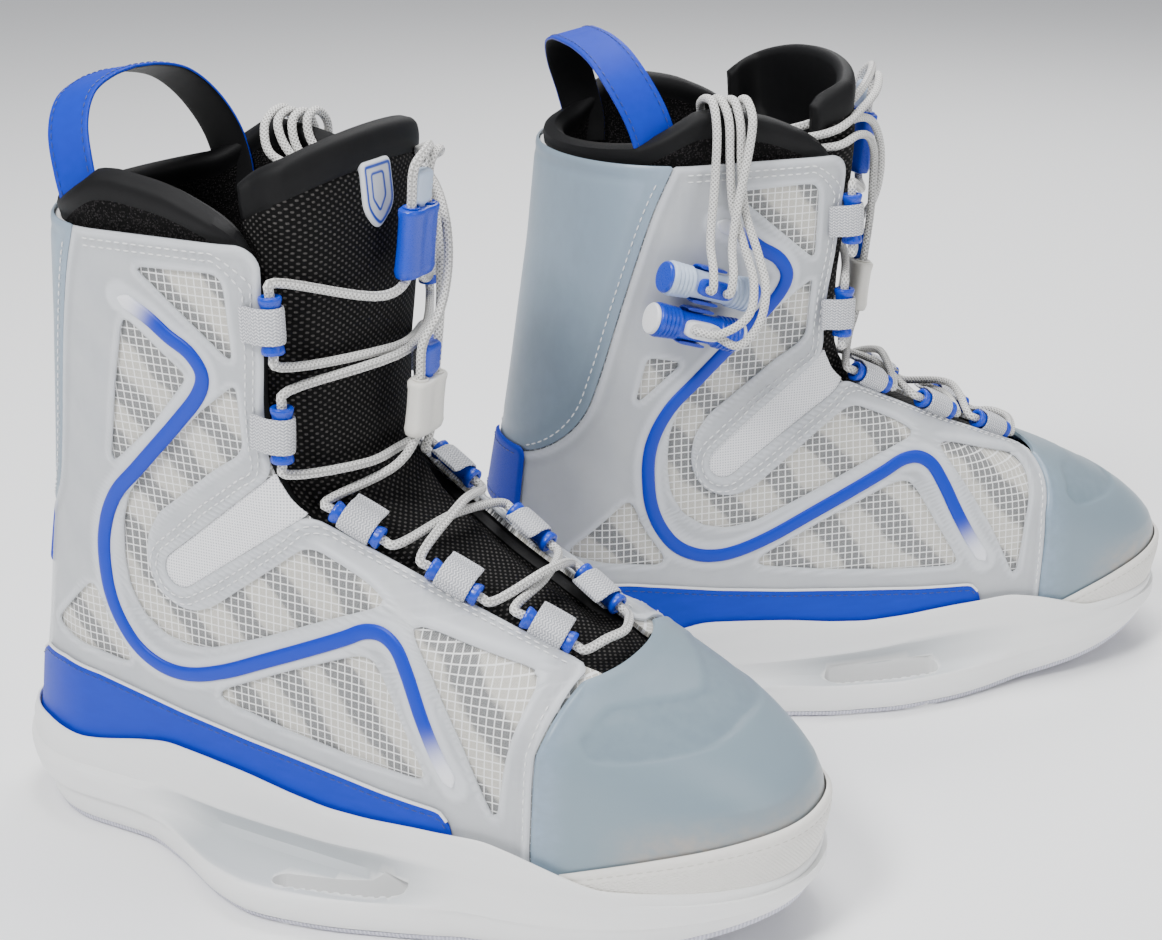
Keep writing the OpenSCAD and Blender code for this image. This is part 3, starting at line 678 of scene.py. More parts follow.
def merge(parts):
    """Several (points, faces, place) as one."""
    verts, faces, places, start = [], [], [], 0
    for p in parts:
        verts.append(p[0])
        faces += [[int(i) + start for i in f] for f in p[1]]
        places.append(p[2] if len(p) > 2 else np.zeros((len(p[0]), 2)))
        start += len(p[0])
    return np.vstack(verts), faces, np.vstack(places)


def stitches(points, lift, length=2.4, gap=1.1, radius=0.32):
    """A row of short raised threads along a line of (t, z) points, lift being the offset."""
    line = even(under(points[:, 0], points[:, 1], np.broadcast_to(lift, len(points))), 0.4)
    run = np.r_[0, np.cumsum(np.linalg.norm(np.diff(line, axis=0), axis=1))]
    parts, s = [], 0.0
    while s + length < run[-1]:
        k = np.linspace(s, s + length, 5)
        p = np.stack([np.interp(k, run, line[:, i]) for i in range(3)], 1)
        r = radius * np.array([0.45, 0.9, 1.0, 0.9, 0.45])
        parts.append(tube(p, r, 6))
        s += length + gap
    return merge(parts)


def loft(rings):
    """Closed solid through rings of the same number of points, capped at both ends."""
    n, m = len(rings[0]), len(rings)
    faces = grid_faces(n, m - 1, wrap=True).tolist()
    faces += [list(range(n))[::-1], [(m - 1) * n + i for i in range(n)]]
    return np.concatenate(rings), faces


def axes_at(origin, axis, out):
    """Matrix columns x (near out), y and z (along axis), and the origin."""
    z = unit(axis)
    x = unit(np.array(out, float) - np.dot(out, z) * z)
    return np.stack([x, np.cross(z, x), z], 1), np.array(origin, float)


def put(frame_at, p):
    return np.asarray(p, float) @ frame_at[0].T + frame_at[1]


def oval(a, b, n=48, power=2.0):
    """Points of a rounded rectangle or oval with half sizes a and b."""
    t = (np.arange(n) + 0.5) * 2 * np.pi / n
    c, s = np.cos(t), np.sin(t)
    return np.stack([a * np.sign(c) * np.abs(c) ** (2 / power),
                     b * np.sign(s) * np.abs(s) ** (2 / power)], 1)


def lathe(profile, n=48):
    """Rings of an (r, z) profile turned about z."""
    a = np.arange(n) * 2 * np.pi / n
    return [np.stack([r * np.cos(a), r * np.sin(a), np.full(n, float(z))], 1)
            for r, z in profile]


# ---------------------------------------------------------------- outlines on the side, (x, z)
def fillet(corners, r, k=5):
    """The polygon with each corner rounded by about r."""
    p = np.array(corners, float)
    out = []
    for i in range(len(p)):
        a, b, c = p[i - 1], p[i], p[(i + 1) % len(p)]
        d1, d2 = np.linalg.norm(a - b), np.linalg.norm(c - b)
        start, end = b + (a - b) * min(r / d1, 0.45), b + (c - b) * min(r / d2, 0.45)
        for t in np.linspace(0, 1, k):
            out.append((1 - t) ** 2 * start + 2 * t * (1 - t) * b + t * t * end)
    return np.array(out)


def line_distance(points, line, closed=False):
    """Distance from each point to a polyline."""
    p = points.reshape(-1, 2)
    a = line if closed else line[:-1]
    b = np.roll(line, -1, 0) if closed else line[1:]
    best = np.full(len(p), 1e9)
    for s, e in zip(a, b):
        d = e - s
        h = np.clip((p - s) @ d / max(d @ d, 1e-9), 0, 1)
        best = np.minimum(best, np.hypot(*(p - s - h[:, None] * d).T))
    return best.reshape(points.shape[:-1])


def inside(points, polygon):
    x, y = points[..., 0], points[..., 1]
    result = np.zeros(x.shape, bool)
    for a, b in zip(polygon, np.roll(polygon, -1, 0)):
        if a[1] == b[1]:
            continue
        hit = (a[1] > y) != (b[1] > y)
        result ^= hit & (x < (b[0] - a[0]) * (y - a[1]) / (b[1] - a[1]) + a[0])
    return result


def signed(points, polygon):
    """Distance to a polygon, negative inside it."""
    d = line_distance(points, polygon, True)
    return np.where(inside(points, polygon), -d, d)


WINDOWS_BOTH = [
    ([[99.5, 234.5], [134, 235.5], [136.5, 232], [136.8, 203.5]], 4),
    ([[136.5, 196], [121, 184], [104, 168.5], [90, 155], [82, 145], [78, 134], [77, 120],
      [78.5, 108], [84, 98], [93, 91.5], [104, 89], [116, 90.5], [140, 100], [165, 111],
      [182, 118], [190, 121.5], [182, 127], [172, 132], [161, 137], [156, 136], [140, 124],
      [125, 113], [117, 107], [109, 103.5], [102, 103.5], [94, 107], [89, 114], [87.5, 122],
      [89, 131], [95, 140], [108, 150], [122, 161], [133, 168], [136, 172]], 3),
    ([[35.5, 83], [59, 105.5], [62, 105], [67, 93], [77, 78], [74, 75.5], [50, 79]], 4),
    ([[117, 72.5], [122, 76], [150, 89], [180, 101.5], [186, 101.5], [190, 97], [199, 81],
      [209.5, 63], [206, 61.3], [180, 62], [150, 65], [120, 70]], 4),
    ([[202, 116], [210, 114], [244, 102.5], [246, 98], [241, 78], [237.5, 54], [235.5, 54.5],
      [224, 78], [210, 101], [201, 114]], 4)]
WINDOW_OUTER = ([[92, 214.5], [95, 214.5], [116, 197], [116, 195], [97, 174], [78, 157.5],
                 [77, 160], [84, 188]], 4)
WINDOW_INNER = ([[67, 168], [80, 165], [81, 163], [64, 148.5], [63, 150]], 3)
NOTCH_BACK, NOTCH_FRONT, NOTCH_R = (102.5, 118.5), (152, 155.5), 7.0
COUNTER_EDGE = [[75, 246], [68, 228], [58, 192], [50, 160], [45, 144], [38, 133], [28, 124],
                [18, 119]]
SIDE_LINE = [[93, 223], [104, 217], [112, 211], [120, 206], [124, 200], [124, 196],
             [121, 190], [110, 178], [98, 166], [88, 156], [78, 146], [72, 136], [69, 126],
             [68.5, 115], [70, 103], [74, 93], [81, 84], [90, 79], [99, 77.5], [108, 78.5],
             [122, 83], [140, 91], [160, 100], [175, 107], [183, 111], [190, 111.5],
             [196, 108], [201, 100], [208, 85], [215, 72], [221, 63]]
FOX_TOP = [[0, 50], [14, 60], [25, 69], [40, 70.5], [60, 68.5], [100, 61.8], [130, 58],
           [160, 55], [190, 52.7], [215, 52], [221, 45]]
SOLE_TOP = [[0, 36], [15, 40], [30, 42], [50, 40], [60, 41.5], [78, 46], [92, 48.5],
            [110, 47], [130, 45], [150, 42], [167, 40.5], [185, 41.5], [205, 44], [232, 46],
            [247, 43], [262, 38.5], [275, 34], [333, 32.5]]


def round_curve(points, step=1.5):
    return even(smooth_path(np.array(points, float), 6), step)


LINE_PATH = round_curve(SIDE_LINE)


def window_shapes(outer_side):
    shapes = WINDOWS_BOTH + [WINDOW_OUTER if outer_side else WINDOW_INNER]
    return [fillet(p, r, 4) for p, r in shapes]


def notch_distance(xz):
    """Distance to the U-shaped notch's centre line, minus its radius."""
    a, b = np.array(NOTCH_BACK), np.array(NOTCH_FRONT)
    d = b - a
    along = (xz - a) @ d / (d @ d)
    h = np.clip(along, 0, 1.6)
    r = NOTCH_R + 2.2 * np.clip(along, 0, 1.2)
    return np.hypot(*np.moveaxis(xz - a - h[..., None] * d, -1, 0)) - r


def skin_fields(t, z):
    """Distances on the skin, in mm: to its own border, to the nearest window, to the line."""
    p = skin(t, z)
    xz = p[..., [0, 2]]
    per_degree = np.linalg.norm(skin(np.abs(t) + 0.5, z) - skin(np.abs(t) - 0.5, z), axis=-1)
    gap = (gap_angle(z) - np.abs(t)) * per_degree
    counter = line_distance(xz, COUNTER_LINE)
    behind = inside(xz, COUNTER_SHAPE)
    counter = np.where(behind, -counter, counter)
    toe = look(z, [[31, 249.6], [45, 249.6], [80, 251.1], [98, 256.4], [110, 258]]) - xz[..., 0]
    toe = np.where(z < 125, toe, 99)
    top = CUFF_Z - 1 - z + 0 * t
    notch = notch_distance(xz)
    border = np.minimum.reduce([gap, counter, toe, top, notch])
    # the cuff's front corner and the corners at the notch are rounded
    corner = 9 - np.hypot(np.maximum(9 - gap, 0), np.maximum(9 - top, 0))
    border = np.minimum(border, corner)
    corner = 6 - np.hypot(np.maximum(6 - gap, 0), np.maximum(6 - notch, 0))
    border = np.minimum(border, corner)
    corner = 7 - np.hypot(np.maximum(7 - gap, 0), np.maximum(7 - toe, 0))
    border = np.minimum(border, corner)
    window = np.full(t.shape, 99.0)
    for side in (-1, 1):
        mine = t * side >= 0
        if mine.any():
            pts = xz[mine]
            near = np.full(len(pts), 99.0)
            for shape in window_shapes(side < 0):
                near = np.minimum(near, signed(pts, shape))
            window[mine] = near
    line = line_distance(xz, LINE_PATH)
    return border, window, line, gap, counter, notch, toe


COUNTER_LINE = round_curve(COUNTER_EDGE)
COUNTER_SHAPE = np.vstack([[[-30, 119]], COUNTER_LINE[::-1], [[80, 262], [-30, 262]]])


# ---------------------------------------------------------------- sheets of the upper
def hill(d, at, width):
    """Smooth bump of height 1 at distance at."""
    return np.exp(-((d - at) / width) ** 2)


def arc_place(t, z):
    """Millimetres along the cloth from x = 110, and up."""
    steps = np.linspace(0, 1, 40)
    start = angle_at(110, z)
    a = start + (np.abs(t) - start) * steps[:, None]
    p = skin(a, np.broadcast_to(z, a.shape))
    run = np.linalg.norm(np.diff(p, axis=0), axis=-1).sum(0)
    return np.stack([110 + np.sign(np.abs(t) - start) * run, z], 1)


def skin_domain(z_low, z_high, extra=0.0):
    def place(u, v):
        z = mix(z_low, z_high, v)
        edge = gap_angle(z)
        reach = look(z, [[31, 248], [45, 248], [80, 250], [98, 252], [110, 256]]) + extra
        edge = np.where(z < 125, np.minimum(edge, angle_at(
            np.minimum(front(z) - 0.5, reach), z)), edge)
        return (2 * u - 1) * edge, z
    return place


def build_overlay(boot):
    def field(t, z):
        border, window = skin_fields(t, z)[:2]
        return np.minimum(border, window)
    tz, faces = cut_grid(330, 132, skin_domain(BASE_Z, CUFF_Z - 0.6, 3.5), field)
    t, z = tz.T
    border, window, line = skin_fields(t, z)[:3]
    # rolled lip, sewn channel and thick rib along the border; small lips round the windows
    edge = np.minimum(border, window)
    rib = hill(border, 9.6, 2.5)
    lip = hill(border, 1.5, 1.3) + 0.7 * hill(window, 1.3, 1.0)
    band = ramp(7.2, 4.6, line)
    rise = 0.45 + 0.75 * rib + 0.4 * lip + 0.45 * band * (1 - rib)
    rise = rise * np.sqrt(np.clip(edge / 1.0, 0.06, 1))
    thick = np.clip(0.25 + 0.75 * rib + 0.5 * lip + 0.5 * band, 0, 1)
    verts, faces = sheet_solid(under(t, z, -0.65 - rise), under(t, z, -0.1), faces)
    boot.piece("overlay", verts, faces, LOOKS["overlay"], {"thick": np.r_[thick, thick]})
    rows = []
    for side in (-1, 1):
        for inset in (3.4, 6.0):
            rows.append(stitch_path(side, inset))
        z = np.linspace(48, 95, 40)
        x = look(z, [[31, 247], [80, 248.5], [98, 252.5]])
        rows.append(np.stack([side * angle_at(x, z), z], 1))
    boot.piece("overlay_stitches", *sewn(rows, -1.55, 2.2, 1.3), node=[], slot="overlay",
               material=LOOKS["thread_white"])


def sewn(paths, lift, length=2.4, gap=1.1, radius=0.3):
    parts = [stitches(np.asarray(p), lift, length, gap, radius) for p in paths if len(p) > 2]
    return merge(parts)[:2]


def stitch_path(side, inset):
    """(t, z) line that far inside the overlay's edge: cuff, front, notch and over the instep."""
    points = []
    x = np.linspace(80, 134, 12)
    z = CUFF_Z - 1 - inset
    points += [(angle_at(a, z), z) for a in x]
    for z in np.linspace(236 - inset, 166 + inset, 24):
        points.append((step_in(gap_angle(z), z, inset), z))
    a, b = np.array(NOTCH_BACK), np.array(NOTCH_FRONT)
    d = unit(b - a)
    n = np.array([-d[1], d[0]])
    upper = [b + d * s + n * (NOTCH_R + 1.6 + inset) for s in (-6, -14, -26, -38)]
    turn = [a + (NOTCH_R + inset) * (math.cos(w) * n - math.sin(w) * d)
            for w in np.linspace(0, math.pi, 12)]
    lower = [b + d * s - n * (NOTCH_R + 1.6 + inset) for s in (-38, -26, -14, -4)]
    points += [(angle_at(*p), p[1]) for p in upper + turn + lower]
    for z in np.linspace(146 - 0.9 * inset, 108 - inset, 30):
        points.append((step_in(gap_angle(z), z, inset), z))
    line = smooth_path(np.array(points), 4)
    return np.stack([side * line[:, 0], line[:, 1]], 1)


def step_in(t, z, d):
    per_degree = np.linalg.norm(skin(t - 0.5, z) - skin(t - 1.5, z))
    return t - d / per_degree


def build_line(boot):
    for side, name in ((-1, "outer"), (1, "inner")):
        path = LINE_PATH
        t = side * angle_at(path[:, 0], path[:, 1])
        z = path[:, 1]
        centre = under(t, z, -1.75)
        normal = -inward(t, z)
        tangent = unit(np.gradient(centre, axis=0))
        across = np.cross(tangent, normal)
        s = np.linspace(0, 1, len(path))
        end = np.sqrt(np.clip(np.minimum(s, 1 - s) * len(path) * 1.5 / 2.8, 0.03, 1))
        ring = oval(2.8, 1.15, 20, 2.6)
        rings = [c + ring[:, :1] * e * a + ring[:, 1:] * n
                 for c, a, n, e in zip(centre, across, normal, end)]
        verts, faces = loft(rings)
        fade = np.minimum(ramp(0.0, 0.055, s), ramp(1.0, 0.925, s))
        # both lines stand for one CAD node
        boot.piece(f"side_line_{name}", verts, faces, LOOKS["line"],
                   {"fade": np.repeat(fade, 20)}, node="side_line")


def build_quarter(boot):
    def field(t, z):
        per_degree = np.linalg.norm(skin(np.abs(t) + 0.5, z) - skin(np.abs(t) - 0.5, z), axis=-1)
        gap = (gap_angle(z) - np.abs(t)) * per_degree - 1.0
        top = CUFF_Z - 2.2 - z
        corner = 8 - np.hypot(np.maximum(8 - gap, 0), np.maximum(8 - top, 0))
        return np.minimum.reduce([gap + 99 * (z < 112), top, corner])
    tz, faces = cut_grid(180, 80, skin_domain(BASE_Z, CUFF_Z - 1, 9), field)
    t, z = tz.T
    verts, faces = sheet_solid(under(t, z, 0.5), under(t, z, 2.3), faces)
    place = arc_place(t, z)
    boot.piece("quarter", verts, faces, LOOKS["ripstop"], place=np.vstack([place, place]))


def build_ankle_mesh(boot):
    def field(t, z):
        p = skin(t, z)[..., [0, 2]]
        return np.minimum(-0.15 - notch_distance(p), (gap_angle(z) - np.abs(t)) * 0.5 + 0.01)
    parts, places = [], []
    for side in (-1, 1):
        def place(u, v, side=side):
            z = mix(106, 176, v)
            return side * mix(60, gap_angle(z), u), z
        tz, faces = cut_grid(90, 60, place, field)
        t, z = tz.T
        d = -notch_distance(skin(t, z)[..., [0, 2]])
        puff = 0.35 * np.sqrt(np.clip(d / 5, 0, 1))
        verts, faces = sheet_solid(under(t, z, -0.1 - puff), under(t, z, 0.45), faces)
        parts.append((verts, faces))
        places.append(np.vstack([arc_place(t, z)] * 2))
    verts, faces, _ = merge(parts)
    boot.piece("ankle_mesh", verts, faces, LOOKS["mesh"], place=np.vstack(places))


def build_counter(boot):
    def field(t, z):
        p = skin(t, z)[..., [0, 2]]
        d = line_distance(p, COUNTER_LINE)
        side = np.where(inside(p, COUNTER_SHAPE), d, -d) - 0.35
        return np.minimum(side, CUFF_Z - 0.8 - z)

    def place(u, v):
        z = mix(116, CUFF_Z, v)
        return (2 * u - 1) * angle_at(82, z), z
    tz, faces = cut_grid(120, 80, place, field)
    t, z = tz.T
    p = skin(t, z)[..., [0, 2]]
    d = np.minimum(line_distance(p, COUNTER_LINE), CUFF_Z - 0.8 - z)
    rise = 0.55 * np.sqrt(np.clip(d / 1.2, 0.06, 1)) + 0.35 * hill(d, 1.8, 1.3)
    rise += 0.3 * ramp(5.5, 8, d)
    verts, faces = sheet_solid(under(t, z, -0.4 - rise), under(t, z, 0.0), faces)
    thick = np.clip(0.4 + 0.6 * ramp(5, 8, d), 0, 1)
    where = np.stack([p[:, 0], z], 1)
    boot.piece("heel_counter", verts, faces, LOOKS["counter"], {"thick": np.r_[thick, thick]},
               np.vstack([where, where]))
    rows = []
    for side in (-1, 1):
        keep = COUNTER_LINE[(COUNTER_LINE[:, 1] < 240) & (COUNTER_LINE[:, 1] > 124)]
        line = keep - [3.6, 0]
        line = line[line[:, 0] > rear(line[:, 1]) + 2]
        rows.append(np.stack([side * angle_at(line[:, 0], line[:, 1]), line[:, 1]], 1))
    boot.piece("counter_stitches", *sewn(rows, -1.4, 2.2, 1.3), node=[], slot="heel_counter",
               material=LOOKS["thread_white"])


def flat_patch(t_range, z_range, corner, n, m, outer, inner, crown=0.0):
    """Rounded-corner patch on the skin, and its (across, up) place in mm."""
    middle_t, middle_z = sum(t_range) / 2, sum(z_range) / 2
    per_degree = np.linalg.norm(skin(middle_t + 0.5, middle_z) - skin(middle_t - 0.5, middle_z))
    a = (t_range[1] - t_range[0]) / 2 * per_degree
    b = (z_range[1] - z_range[0]) / 2

    def distance(t, z):
        x, y = np.abs((t - middle_t) * per_degree), np.abs(z - middle_z)
        return corner - np.hypot(np.maximum(x - a + corner, 0), np.maximum(y - b + corner, 0))

    def place(u, v):
        return mix(t_range[0] - 0.5, t_range[1] + 0.5, u), mix(z_range[0] - 1, z_range[1] + 1, v)
    tz, faces = cut_grid(n, m, place, lambda t, z: distance(t, z) - 0.02)
    t, z = tz.T
    d = distance(t, z)
    rise = (outer - inner) * np.sqrt(np.clip(d / 1.2, 0.05, 1)) + crown * np.clip(d / 8, 0, 1)
    verts, faces = sheet_solid(under(t, z, -inner - rise), under(t, z, -inner), faces)
    where = np.stack([(t - middle_t) * per_degree, z], 1)
    return verts, faces, np.vstack([where, where]), np.r_[d, d]


def build_heel_tab(boot):
    verts, faces, place, _ = flat_patch((-16, 16), (96, 124), 4, 44, 34, 3.3, 1.9)
    boot.piece("heel_tab", verts, faces, LOOKS["leather"], place=place)
    rows = [np.array([[-13.5, 99.5], [13.5, 99.5]]), np.array([[-13.5, 120.5], [13.5, 120.5]])]
    rows = [np.stack([np.linspace(a[0], b[0], 30), np.linspace(a[1], b[1], 30)], 1)
            for a, b in rows]
    boot.piece("heel_tab_stitches", *sewn(rows, -3.35), node=[], slot="heel_tab",
               material=LOOKS["thread_navy"])


def around(t):
    return np.where(t > 180, t - 360, t)


def build_toe_cap(boot):
    def place(u, v):
        z = mix(BASE_Z, 98, v)
        e = angle_at(look(z, [[31, 250], [45, 250], [80, 251.5], [98, 257]]), z)
        return mix(e, 360 - e, u), z
    u, v = np.meshgrid(np.linspace(0, 1, 201), np.linspace(0, 1, 91))
    t, z = (a.ravel() for a in place(u, v))
    side = around(t)
    p = skin(side, z)
    # a curved panel is pressed in across the top of the toe, in front of the tongue's end
    panel = fillet([[139, 79], [141, 84.5], [150, 89.5], [158, 92], [168, 90.5], [180, 87.5],
                    [205, 87.5], [205, 79.5], [180, 79.5], [161, 78], [149, 78]], 2.2)
    inner = signed(np.stack([np.abs(side), z], 1), panel)
    step = ramp(0.5, -0.5, inner)
    x = p[:, 0]
    edge = np.minimum(x - look(z, [[31, 250], [45, 250], [80, 251.5], [98, 257]]) + 0.05, 99 - z)
    lip = np.sqrt(np.clip(edge / 1.4, 0.1, 1))
    rise = 1.55 * lip - 0.55 * step + 0.25 * hill(edge, 2.0, 1.4)
    verts, faces = sheet_solid(under(side, z, -rise), under(side, z, 0.0),
                               grid_faces(200, 90).tolist())
    where = np.stack([x, z], 1)
    boot.piece("toe_cap", verts, faces, LOOKS["toe"], {"step": np.r_[step, step]},
               np.vstack([where, where]))


def bumper_top(s):
    return mix(38, 52, 1 - np.abs(2 * s - 1) ** 3)


def build_bumper(boot):
    n, m = 160, 26
    s, v = np.meshgrid(np.linspace(0, 1, n + 1), np.linspace(0, 1, m + 1))
    s, v = s.ravel(), v.ravel()
    t = around(mix(125.5, 234.5, s))
    top = bumper_top(s)
    z = mix(32.6, top, v)
    edge = np.minimum(top - z, np.minimum(s, 1 - s) * 170)
    front_share = ramp(0.0, 0.22, np.minimum(s, 1 - s))
    rise = mix(0.9, 1.9, front_share) * np.sqrt(np.clip(edge / 1.6, 0.08, 1))
    low = ramp(4.2, 5.0, top - z)
    rise = rise - 0.25 * hill(top - z, 3.4, 0.7) + 0.1 * low
    verts, faces = sheet_solid(under(t, z, -2.3 - rise), under(t, z, -2.3),
                               grid_faces(n, m).tolist())
    p = skin(t, z)
    where = np.stack([np.abs(s - 0.5) * 190, z], 1)
    boot.piece("toe_bumper", verts, faces, LOOKS["bumper"], {"low": np.r_[low, low]},
               np.vstack([where, where]))
    s = np.linspace(0.03, 0.97, 120)
    row = np.stack([around(mix(125.5, 234.5, s)), bumper_top(s) - 3.4], 1)
    boot.piece("bumper_stitches", *sewn([row], -2.0 - mix(0.95, 1.9, ramp(0.0, 0.22, np.minimum(s, 1 - s)))),
               node=[], slot="toe_bumper",
               material=LOOKS["thread_cream"])


def build_foxing(boot):
    n, m = 200, 26
    s, v = np.meshgrid(np.linspace(-1, 1, n + 1), np.linspace(0, 1, m + 1))
    s, v = s.ravel(), v.ravel()
    # the front end slants: it reaches further at the bottom
    reach = mix(229, 219, v)
    t = s * angle_at(reach, 45)
    x = skin(t, 45)[:, 0]
    top = look(x, FOX_TOP)
    z = mix(BASE_Z, top, v)
    d = np.minimum(top - z, (1 - np.abs(s)) * 200)
    rise = 0.95 * np.sqrt(np.clip(d / 0.9, 0.08, 1))
    verts, faces = sheet_solid(under(t, z, -1.72 - rise), under(t, z, -1.72),
                               grid_faces(n, m).tolist())
    where = np.stack([s * 250, z], 1)
    boot.piece("foxing", verts, faces, LOOKS["leather"], place=np.vstack([where, where]))
    t = np.linspace(-1, 1, 240) * angle_at(218, 45)
    top = look(skin(t, 45)[:, 0], FOX_TOP)
    edge = even(under(t, top + 0.1, -2.1), 2.0)
    trim = tube(edge, 0.62, 8)
    boot.piece("foxing_trim", trim[0], trim[1], LOOKS["thread_white"], place=trim[2], node=[],
               slot="foxing")
    boot.piece("foxing_stitches", *sewn([np.stack([t, top - 2.4], 1)], -2.72, 2.3, 1.0),
               node=[], slot="foxing", material=LOOKS["thread_navy"])


# ---------------------------------------------------------------- sole
SOLE_LOW = [[0, 4], [24, 0], [225, 0], [280, 6], [333, 18]]
WING_OUT = [[80, 0], [100, 8], [125, 21], [143, 26], [158, 24.5], [177, 19.5], [202, 9],
            [224, 0]]
WING_IN = [[105, 0], [125, 5], [150, 12], [178, 14], [203, 10], [225, 4], [242, 0]]
CREASE = [[0, 28], [40, 28.5], [84, 30], [100, 29], [119, 27.3], [144, 26.8], [170, 27.3],
          [201, 31.2], [226, 33], [250, 32.5], [275, 30], [333, 29.5]]
SLOTS = [(-1, (176.5, -61.5), 14), (1, (174, 56.5), 6)]


def sole_angles():
    """Angles spaced evenly by length round the outline."""
    t = np.linspace(-180, 180, 1441)
    run = np.r_[0, np.cumsum(np.linalg.norm(np.diff(skin(t, 40), axis=0), axis=1))]
    return np.interp(np.linspace(0, run[-1], 241)[:-1] + 0.5, run, t)


def wing_width(x, side):
    return np.where(side < 0, soft(x, WING_OUT, 6), soft(x, WING_IN, 6))


def sole_level(t, z, grow, share):
    """A ring of the sole at height z, grown outward, with that share of the side wings."""
    p = under(t, 40.0, -np.broadcast_to(grow, t.shape))
    side = np.sign(t)
    lift = soft(p[:, 0], SOLE_LOW, 10)
    level = np.broadcast_to(z, t.shape)
    return np.stack([p[:, 0], p[:, 1] + side * share * wing_width(p[:, 0], side),
                     level + lift * np.clip((30 - level) / 27, 0, 1)], 1)


def rim_level(t, offset, z):
    a = skin(t, 40.0)
    p = under(t, np.maximum(z, 34), np.broadcast_to(offset, t.shape))
    return np.stack([p[:, 0], p[:, 1], np.broadcast_to(z, t.shape)], 1) + 0 * a


def build_sole(boot):
    t = sole_angles()
    x = skin(t, 40.0)[:, 0]
    top = soft(x, SOLE_TOP, 4)
    crease = soft(x, CREASE, 8)
    heel = ramp(98, 78, x)
    toe = ramp(228, 262, x)
    rings = [sole_level(t, 2.7, -3.0, 0.93), sole_level(t, 2.75, 0.2, 0.985),
             sole_level(t, 3.4, 0.9, 1.0), sole_level(t, 6.0, 1.8, 1.03),
             sole_level(t, 9.5, 2.9, 1.06), sole_level(t, 13.0, 3.8, 1.05),
             sole_level(t, 15.2, 4.1, 1.02)]
    # above a wing the side is a deep scoop with a flat floor; elsewhere it is a plain wall
    wing = np.clip(wing_width(x, np.sign(t)) / 14, 0, 1)
    scoop = [(16.2, 16.0, 4.5, 0.975), (16.5, 16.8, 4.8, 0.93), (16.0, 17.8, 4.7, 0.86),
             (15.0, 18.8, 4.2, 0.72), (14.6, 19.8, 3.4, 0.50), (14.6, 20.8, 2.4, 0.25),
             (15.4, 21.9, 1.5, 0.08), (18.2, 23.1, 1.2, 0.0), (22.2, 24.4, 2.2, 0.0),
             (25.2, 25.8, 4.4, 0.0)]
    shelf = [6.4, 6.8, 7.1, 7.4, 7.6, 7.8, 8.0, 8.2, 8.3, 8.1]
    # the scoop above each wing is painted grey through this attribute: painted shade in the recess, none on
    # the rim and walls
    painted_shade = [np.zeros(len(t))] * len(rings)
    for (floor, wall, grow, share), out in zip(scoop, shelf):
        height = mix(wall, floor, wing) + (crease - 27.3) * ramp(20, 26, wall) * 0.9
        height = mix(height, wall + 0.9 * (wall - 16) / 9, heel)
        plain = mix(mix(5.0, out, heel), 4.6, toe)
        rings.append(sole_level(t, height, mix(plain, grow, wing), share))
        painted_shade.append(wing * ramp(0.97, 0.80, share))
    # the first rim ring takes half the painted shade of the scoop below it
    painted_shade += [0.5 * wing]
    rings.append(rim_level(t, -mix(mix(5.3, 6.6, heel), 4.8, toe), mix(crease - 0.6, 28.0, heel)))
    rings.append(rim_level(t, -5.0, mix(crease + 0.4, 28.6, heel)))
    for k, out in ((0.25, 5.1), (0.55, 5.25), (0.8, 5.2)):
        rings.append(rim_level(t, -out, mix(crease + 1, top - 1, k)))
    rings.append(rim_level(t, -5.0, top - 0.6))
    rings.append(rim_level(t, -4.6, top - 0.1))
    rings.append(rim_level(t, -4.1, top))
    rings.append(rim_level(t, -3.7, top - 0.5))
    rings.append(rim_level(t, -3.6, top - 2))
    rings.append(rim_level(t, -3.6, np.full(len(t), 27.0)))
    painted_shade += [np.zeros(len(t))] * (len(rings) - len(painted_shade))
    verts, faces = loft(rings)
    place = verts[:, [0, 2]]
    sole = boot.piece("midsole", verts, faces, LOOKS["eva"], {"painted_shade": np.concatenate(painted_shade)},
                      place, sharp=40)
    rings = [sole_level(t, 0.0, -1.2, 0.93), sole_level(t, 0.5, -0.4, 0.97),
             sole_level(t, 1.6, 0.0, 0.99), sole_level(t, 2.55, 0.1, 1.0)]
    verts, faces = loft(rings)
    n = len(t)
    run = np.r_[0, np.cumsum(np.linalg.norm(np.diff(rings[2], axis=0), axis=1))]
    place = np.stack([np.tile(run, 4), verts[:, 2]], 1)
    tread = boot.piece("outsole", verts, faces, LOOKS["tread"], place=place, sharp=40)
    carve(boot, [sole, tread])


def slot_outline(side):
    """Long round-ended slot with a row of teeth cut into its outer edge."""
    half_l, r = 21.5, 4.5
    points = [(half_l + r * math.cos(a), r * math.sin(a))
              for a in np.linspace(-math.pi / 2, math.pi / 2, 13)]
    teeth = []
    for k in range(9, -1, -1):
        c = -19.5 + 4.3 * k
        teeth += [(c + 1.2 * math.cos(a), r + 1.2 * math.sin(a))
                  for a in np.linspace(0, math.pi, 7)]
    points += teeth
    points += [(-half_l + r * math.cos(a), r * math.sin(a))
               for a in np.linspace(math.pi / 2, 3 * math.pi / 2, 13)]
    return np.array([(x, -side * -y) for x, y in points])


